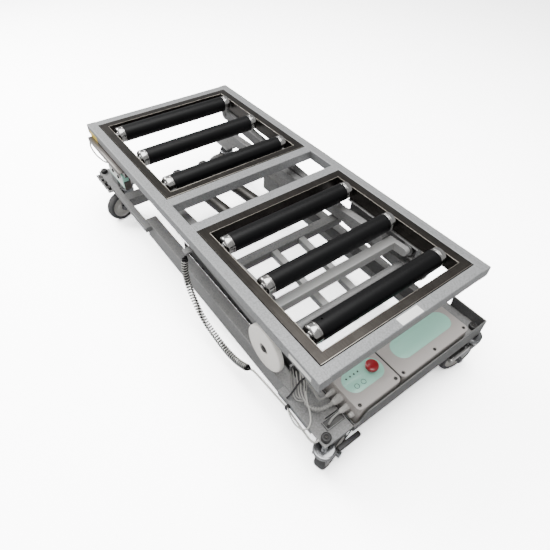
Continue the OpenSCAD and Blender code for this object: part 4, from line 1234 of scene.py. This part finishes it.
def hex_bolt(name, across, height, washer):
    """A bolt head on its washer, which stands on height 0."""
    only(None)
    bpy.ops.mesh.primitive_cylinder_add(vertices=6, radius=across / 2 / HEX_FLAT * MM,
                                        depth=height * MM,
                                        location=(0, 0, (height / 2 + 1.2) * MM))
    head = settle(bpy.context.object)
    edit(head)
    pick("FACE", lambda f: f.normal.z > 0.9)
    bpy.ops.mesh.inset(thickness=across * 0.06 * MM)
    pick("VERT", lambda v: v.co.z > height * MM
         and v.co.xy.length > across * 0.5 * MM)
    bpy.ops.transform.translate(value=(0, 0, -height * 0.1 * MM))
    only(head)
    ring = turned("washer", [(washer, 0), (washer, 1.0), (washer - 0.4, 1.4)], 32)
    return joined(name, [head, ring])


axle_bolt = hex_bolt("axle_bolt", 17, 4.4, 10)
outwards = Matrix.Translation((0, 0, AXLE_END * MM))
for i in CASTERS:
    ends = [copied(axle_bolt, "bolt", axle_place(i) @ turn @ outwards)
            for turn in (Matrix(), Matrix.Rotation(math.pi, 4, "X"))]
    done(joined("axle_bolts_%d" % i, ends), "caster_fork_%d" % i, "zinc")
drop(axle_bolt)

# %% [markdown]
# Under each corner plate the caster turns on a raceway: two pressed rings with a dark
# slit where the balls run. Both rings are turned as one closed outline with a groove for
# the slit, so they are a hollow shell round the swivel head.

# %% Swivel raceways
race = turned("race", [(26.2, 131.2), (29, 132), (30.2, 133.6), (30.2, 137.0),
                       (28.6, 138.2), (28.6, 139.2), (30.2, 140.4), (30.2, 144.6),
                       (29, 146.4), (26.2, 147.2)], 56, True)
for i in CASTERS:
    done(copied(race, "raceway_%d" % i, caster_place(i)), "caster_fork_%d" % i, "zinc")
drop(race)

# %% [markdown]
# The hand control is a small mint case in a stainless cradle. Its corners and front
# edges are rounded, the front is inset for the white key field, and two domed keys
# ride on their own buttons.

# %% Hand control and keys
HAND_LOW, HAND_HIGH = (-540, -322, 277), (-400, -298, 339)
case = slab("hand_case", HAND_LOW, HAND_HIGH)
round_edges(case, lambda e: along(e, 1), 9, 6)
round_edges(case, lambda e: not along(e, 1) and abs(e.verts[0].co.y - e.verts[1].co.y) < 1e-6,
            2.6, 3)
edit(case)
front = at(0, HAND_LOW[1], 0).y
pick("FACE", lambda f: f.normal.y < -0.95 and abs(f.calc_center_median().y - front) < 1e-4)
bpy.ops.mesh.inset(thickness=3.4 * MM)
bpy.ops.mesh.extrude_region_move(TRANSFORM_OT_translate={"value": (0, 0.6 * MM, 0)})
only(case)
two_tone(case, ("mint_plastic", "white_plastic"),
         lambda f: f.normal.y < -0.95 and f.center.y > front + 0.3 * MM)
done(case, "deck", None, ["hand_control"])
key = turned("key", [(6.9, 0), (6.9, 13), (6.5, 14.2), (5, 15.2), (2.4, 15.8)], 32)
for name, x in (("hand_button_up", -495), ("hand_button_down", -445)):
    where = spot(x, -310, 308) @ SIDEWAYS
    done(copied(key, name.replace("button", "key"), where), name,
         "black_plastic", [name])
drop(key)

# %% [markdown]
# Each roller ends in two polished caps. One cap is turned from its outline: a flange
# that meets the black sleeve, a groove, a rounded nose and a dished face. Six slots
# are pushed into the dish, and the cap is copied to both ends of all six rollers.
# Every slot takes three of the ring's 48 faces and leaves five.

# %% Roller end caps
ROLLERS = [-577, -380, -183, 183, 380, 577]
ROLLER_Z = 391
SLEEVE_END = 222
cap = turned("cap", [(6.2, -14), (25.7, -14), (25.7, 0.1), (29.3, 0.4), (29.7, 1.2),
                     (29.7, 4.4), (28.2, 5.2), (28.2, 7.2), (29.2, 8.0), (29.2, 19.6),
                     (28.6, 22.4), (27.0, 24.6), (24.6, 25.8), (23.0, 25.6), (22.2, 23.4),
                     (13.6, 22.6), (12.8, 24.4), (11.2, 25.6), (8.4, 25.9), (6.2, 25.2)],
             48, True)
edit(cap)
pick("FACE", lambda f: 13.7 * MM < f.calc_center_median().xy.length < 22.1 * MM
     and f.calc_center_median().z > 22 * MM and ring_step(f, 48) % 8 in (0, 1, 2))
bpy.ops.mesh.inset(thickness=1.1 * MM)
bpy.ops.mesh.extrude_region_move(TRANSFORM_OT_translate={"value": (0, 0, -5.5 * MM)})
only(cap)
for i, x in enumerate(ROLLERS, 1):
    left = spot(x, -SLEEVE_END, ROLLER_Z) @ SIDEWAYS
    right = spot(x, SLEEVE_END, ROLLER_Z) @ OTHER_SIDE
    ends = [copied(cap, "cap", left), copied(cap, "cap", right)]
    done(joined("roller_ends_%d" % i, ends), "roller_%d" % i,
         "polished_cap", ["roller_caps_%d" % i], smooth=28)
drop(cap)

# %% [markdown]
# The two roller frames are folded sheet, and their folds catch the light as thin bright lines;
# these lines are given a bright metal, a painted highlight. A slab's top and bottom are inset and
# joined by a bridge, which makes a square ring; one ring lies on the inner fold, a bar on the
# outer one, and a black ring, painted shade, fills the gap to the deck where it is in shadow.

# %% Highlight lips and gap shade of the roller frames
def square_ring(name, middle, half, width, z_low, z_high, soften=0.0):
    """A square ring lying flat: half is its outer half size, width its wall."""
    ring = slab(name, (middle - half, -half, z_low), (middle + half, half, z_high))
    edit(ring)
    pick("FACE", lambda f: abs(f.normal.z) > 0.9)
    bpy.ops.mesh.inset(thickness=width * MM)
    bpy.ops.mesh.delete(type="FACE")
    reach = (half - width + 0.1) * MM
    centre = at(middle, 0, 0)
    pick("EDGE", lambda e: not along(e, 2) and all(
        max(abs(v.co.x - centre.x), abs(v.co.y - centre.y)) < reach for v in e.verts))
    bpy.ops.mesh.bridge_edge_loops()
    bpy.ops.mesh.select_all(action="SELECT")
    bpy.ops.mesh.normals_make_consistent(inside=False)
    only(ring)
    if soften:
        break_edges(ring, soften, 3)
    return ring


lips, gap_shade_rings = [], []
for middle in (-380, 380):
    lips.append(square_ring("lip", middle, 257.2, 1.5, 404.0, 405.5, 0.5))
    # the bar on the outer fold is bright metal: a painted highlight
    fold = slab("fold", (middle + 281.6, -283.4, 404.0), (middle + 283.4, 283.4, 405.6))
    break_edges(fold, 0.6, 3)
    lips.append(fold)
    # a black ring in the gap to the deck: painted shade
    gap_shade_rings.append(square_ring("gap_shade_ring", middle, 286.3, 2.7, 402.8, 404.4))
done(joined("frame_lip_highlights", lips), "deck", "fold_painted_highlight")
done(joined("frame_gap_shade", gap_shade_rings), "deck", "gap_painted_shade")

# %% [markdown]
# The deck has three label places, two pale ones and a yellow one. Each is a thin bare
# plate with rounded corners that lies on the tube's paint, because a patch of colour in
# the paint itself would have no edge to catch the light.

# %% Label places
def label(name, low, high, flat_axis, coat):
    plate = slab(name, low, high)
    round_edges(plate, lambda e: along(e, flat_axis), 1.5, 4)
    done(plate, "deck", coat)


label("end_label", (671, -42, 405.0), (696.5, 37, 405.3), 2, "label_white")
label("side_label", (590, -320.3, 379.5), (674, -320.0, 395.5), 1, "label_white")
label("rear_label", (-680, -320.3, 366), (-606, -320.0, 391), 1, "label_yellow")

# %% [markdown]
# The white nylon wheels are turned with rounded rims and a recess for the bolt. A thin
# dark ring lies on the floor of the recess, with a washer and a hexagonal bolt head.

# %% Nylon wheels
AXLE_X, NYLON_Y, LOW_Z = 467.44, 297, 253.3
BOLT_SEAT = 3.8
disc = turned("disc", [(8.1, -9), (8.1, 4), (17.2, 4), (17.2, 7.4), (18.6, 8.8), (22, 9),
                       (68, 9), (71.6, 8.4), (73.8, 6.8), (74.8, 4.4), (75, 2),
                       (75, -2), (74.8, -4.4), (73.8, -6.8), (71.6, -8.4), (68, -9)],
              96, True)
sink = turned("sink", [(16.9, 3.4), (16.9, 4.1), (9, 4.3)], 40)
wheel_bolt = hex_bolt("wheel_bolt", 17, 6, 12)
for side, name in ((-1, "left"), (1, "right")):
    where = spot(AXLE_X, side * NYLON_Y, LOW_Z) @ (SIDEWAYS if side < 0 else OTHER_SIDE)
    done(copied(disc, "nylon_disc_" + name, where), "nylon_wheel_" + name,
         "nylon", ["nylon_wheel_" + name], smooth=28)
    heads = [copied(sink, "sink", where),
             copied(wheel_bolt, "head", where @ Matrix.Translation((0, 0, BOLT_SEAT * MM)))]
    done(joined("disc_bolt_" + name, heads), "arm_b", "dark_bolt")
drop(disc, sink, wheel_bolt)

# %% [markdown]
# The leads enter the control box through glands. Each is turned with a nut, whose six
# flats come from a six-sided cylinder, a ribbed sleeve, and a tapered end where the
# lead comes out.

# %% Cable glands
def gland(name, radius, lead):
    """Points along +Z from the box's wall; lead is the radius of what leaves it."""
    only(None)
    bpy.ops.mesh.primitive_cylinder_add(vertices=6, radius=radius * 1.1 * MM,
                                        depth=7 * MM, location=(0, 0, 5 * MM))
    nut = settle(bpy.context.object)
    break_edges(nut, radius * 0.06, 2)
    outline = [(lead + 0.3, -0.5), (radius * 1.02, -0.5), (radius * 1.02, 2),
               (radius * 0.86, 2.6), (radius * 0.86, 9)]
    for rib in range(4):
        top = 10 + rib * 3.6
        size = radius * (0.95 - 0.04 * rib)
        outline += [(size, top), (size, top + 2.0), (size * 0.88, top + 2.6),
                    (size * 0.88, top + 3.2)]
    outline += [(lead + 1.6, 26), (lead + 0.9, 30), (lead + 0.3, 31)]
    return joined(name, [nut, turned("sleeve", outline, 32, True)])


GLANDS = [(686, 204, 12, 6.5), (660, 200, 8, 3.0), (714, 198, 9, 3.0)]
fitted = [settle(gland("gland", radius, lead), spot(x, CONTROL_Y[0], z) @ SIDEWAYS)
          for x, z, radius, lead in GLANDS]
done(joined("box_glands", fitted), "chassis", "plug_grey", ["box_plugs"])

# %% [markdown]
# The deck's tubes are welded and ground flush, so no groove shows where they meet. A
# short block fills each joint: it is a slab whose outer edge is rounded like the tube.

# %% Flush weld joints
EDGE_R = 3
DECK_END = 700


def weld(x_low, x_high, y):
    """A filler in the tube joint at y, rounded where it reaches the deck's end."""
    block = slab("weld", (x_low, y - 3.4, 372), (x_high, y + 3.4, 405.04))
    end = max((v.co.x for v in block.data.vertices), key=abs)
    if max(abs(x_low), abs(x_high)) >= DECK_END:
        round_edges(block, lambda e: along(e, 1) and above(e, 404)
                    and abs(e.verts[0].co.x - end) < 1e-5, EDGE_R, 5)
    return block


WELD_X = [(-700.04, -667), (667, 700.04), (-93, -59), (59, 93)]
joints = [weld(x_low, x_high, y) for y in (-285, 285) for x_low, x_high in WELD_X]
done(joined("deck_welds", joints), "deck", "silver_enamel")

# %% [markdown]
# Below the glands a folded sheet closes the corner, so the floor doesn't show between
# the plate and the box. Its rim is turned up: the slab's top is inset and pushed down.
# A darker gusset, a plain slab with broken edges, stiffens the corner behind it.

# %% Corner sheet and gusset
sheet = slab("corner_sheet", (604, -296, 156), (757, -212, 166))
step_top(sheet, 2.5, -7)
break_edges(sheet, 0.6, 2)
gusset = slab("corner_gusset", (478, -254.5, 150), (603, -206, 156))
break_edges(gusset, 1.0, 2)
done(gusset, "chassis", "channel_grey")
done(sheet, "chassis", "chassis_enamel")

# %% [markdown]
# A small blanking plug closes the control box's last hole, and beside the leads an open
# channel lies on the corner plate. The channel is a slab whose top is inset and pushed
# down, with a bolt in it.

# %% Blanking plug and slot channel
blank = turned("blanking_plug", [(7.6, -0.5), (7.6, 5), (6.6, 6), (6.6, 11), (5.4, 12.4)], 32)
settle(blank, spot(735, CONTROL_Y[0], 190) @ SIDEWAYS)
done(blank, "chassis", "plug_grey")
channel = slab("slot_channel", (704, -288, 178.05), (730, -226, 185))
step_top(channel, 1.8, -6.2)
break_edges(channel, 0.5, 2)
# the inside of the channel takes a darker grey: painted shade in the recess
two_tone(channel, ("chassis_enamel", "channel_grey"),
         lambda f: at(705.5, 0, 0).x < f.center.x < at(728.5, 0, 0).x
         and f.center.z < 184.5 * MM)
slot_bolt = settle(socket_screw("slot_bolt", 4, 3), spot(721, -278, 178.6))
done(slot_bolt, "chassis", "black_plastic")
done(channel, "chassis", None)

# %% [markdown]
# Each front caster has a tread along its brake pedal, black on the left one and bright
# on the right one. It is a slab with all its edges broken.

# %% Brake treads
TREADS = [((760, -276, 109), (774, -196, 124), "black_plastic"),
          ((755, 192, 108), (771, 304, 124), "polished_cap")]
for i, (low, high, coat) in enumerate(TREADS, 1):
    tread = slab("brake_tread_%d" % i, low, high)
    break_edges(tread, 2, 3)
    done(tread, "brake_pedal_%d" % i, coat)

# %% [markdown]
# Inside each side rail a dark strip stands up: painted shade, a dark sheet where the gap between
# the rail and the deck is in shadow. It is a slab whose top edge is cut down towards the rear by
# moving its rear top edge.

# %% Shade strips inside the rails
SHADE_STRIP_X = (-110, 545)
SHADE_STRIP_Z = (150, 206)
REAR_DROP = 18
# dark strips in the gap between rail and deck: painted shade
for name, y_low, y_high in (("arm_guide_left", -245, -242), ("arm_guide_right", 242, 245)):
    shade_strip = slab(name, (SHADE_STRIP_X[0], y_low, SHADE_STRIP_Z[0]), (SHADE_STRIP_X[1], y_high, SHADE_STRIP_Z[1]))
    edit(shade_strip)
    pick("VERT", lambda v: v.co.x < at(0, 0, 0).x and v.co.z > 0.2)
    bpy.ops.transform.translate(value=(0, 0, -REAR_DROP * MM))
    break_edges(shade_strip, 0.5, 2)
    done(shade_strip, "chassis", "channel_grey")

# %% [markdown]
# The hand control's holder is folded from bright stainless sheet, and its top stands out
# below the deck's side tube. The shelf and its turned-down lip are two slabs with broken
# edges. On the outrigger three dark studs stand between the rungs.

# %% Holder shelf and outrigger studs
SHELF_X = (-668, -366)
shelf = slab("shelf", (SHELF_X[0], -337, 366.9), (SHELF_X[1], -318.1, 369.8))
lip = slab("lip", (SHELF_X[0], -337, 352), (SHELF_X[1], -334.6, 369.0))
for sheet_part in (shelf, lip):
    break_edges(sheet_part, 0.6, 2)
done(joined("holder_shelf", [shelf, lip]), "deck", "holder_steel")
stud = turned("stud", [(8, 150), (9, 151), (9, 166), (6, 167), (6, 172), (9.5, 172.4),
                       (9.5, 175), (8.6, 176)], 28)
studs = [copied(stud, "stud", spot(x, -329)) for x in (-681, -638, -596)]
drop(stud)
done(joined("step_studs", studs), "chassis", "dark_bolt")
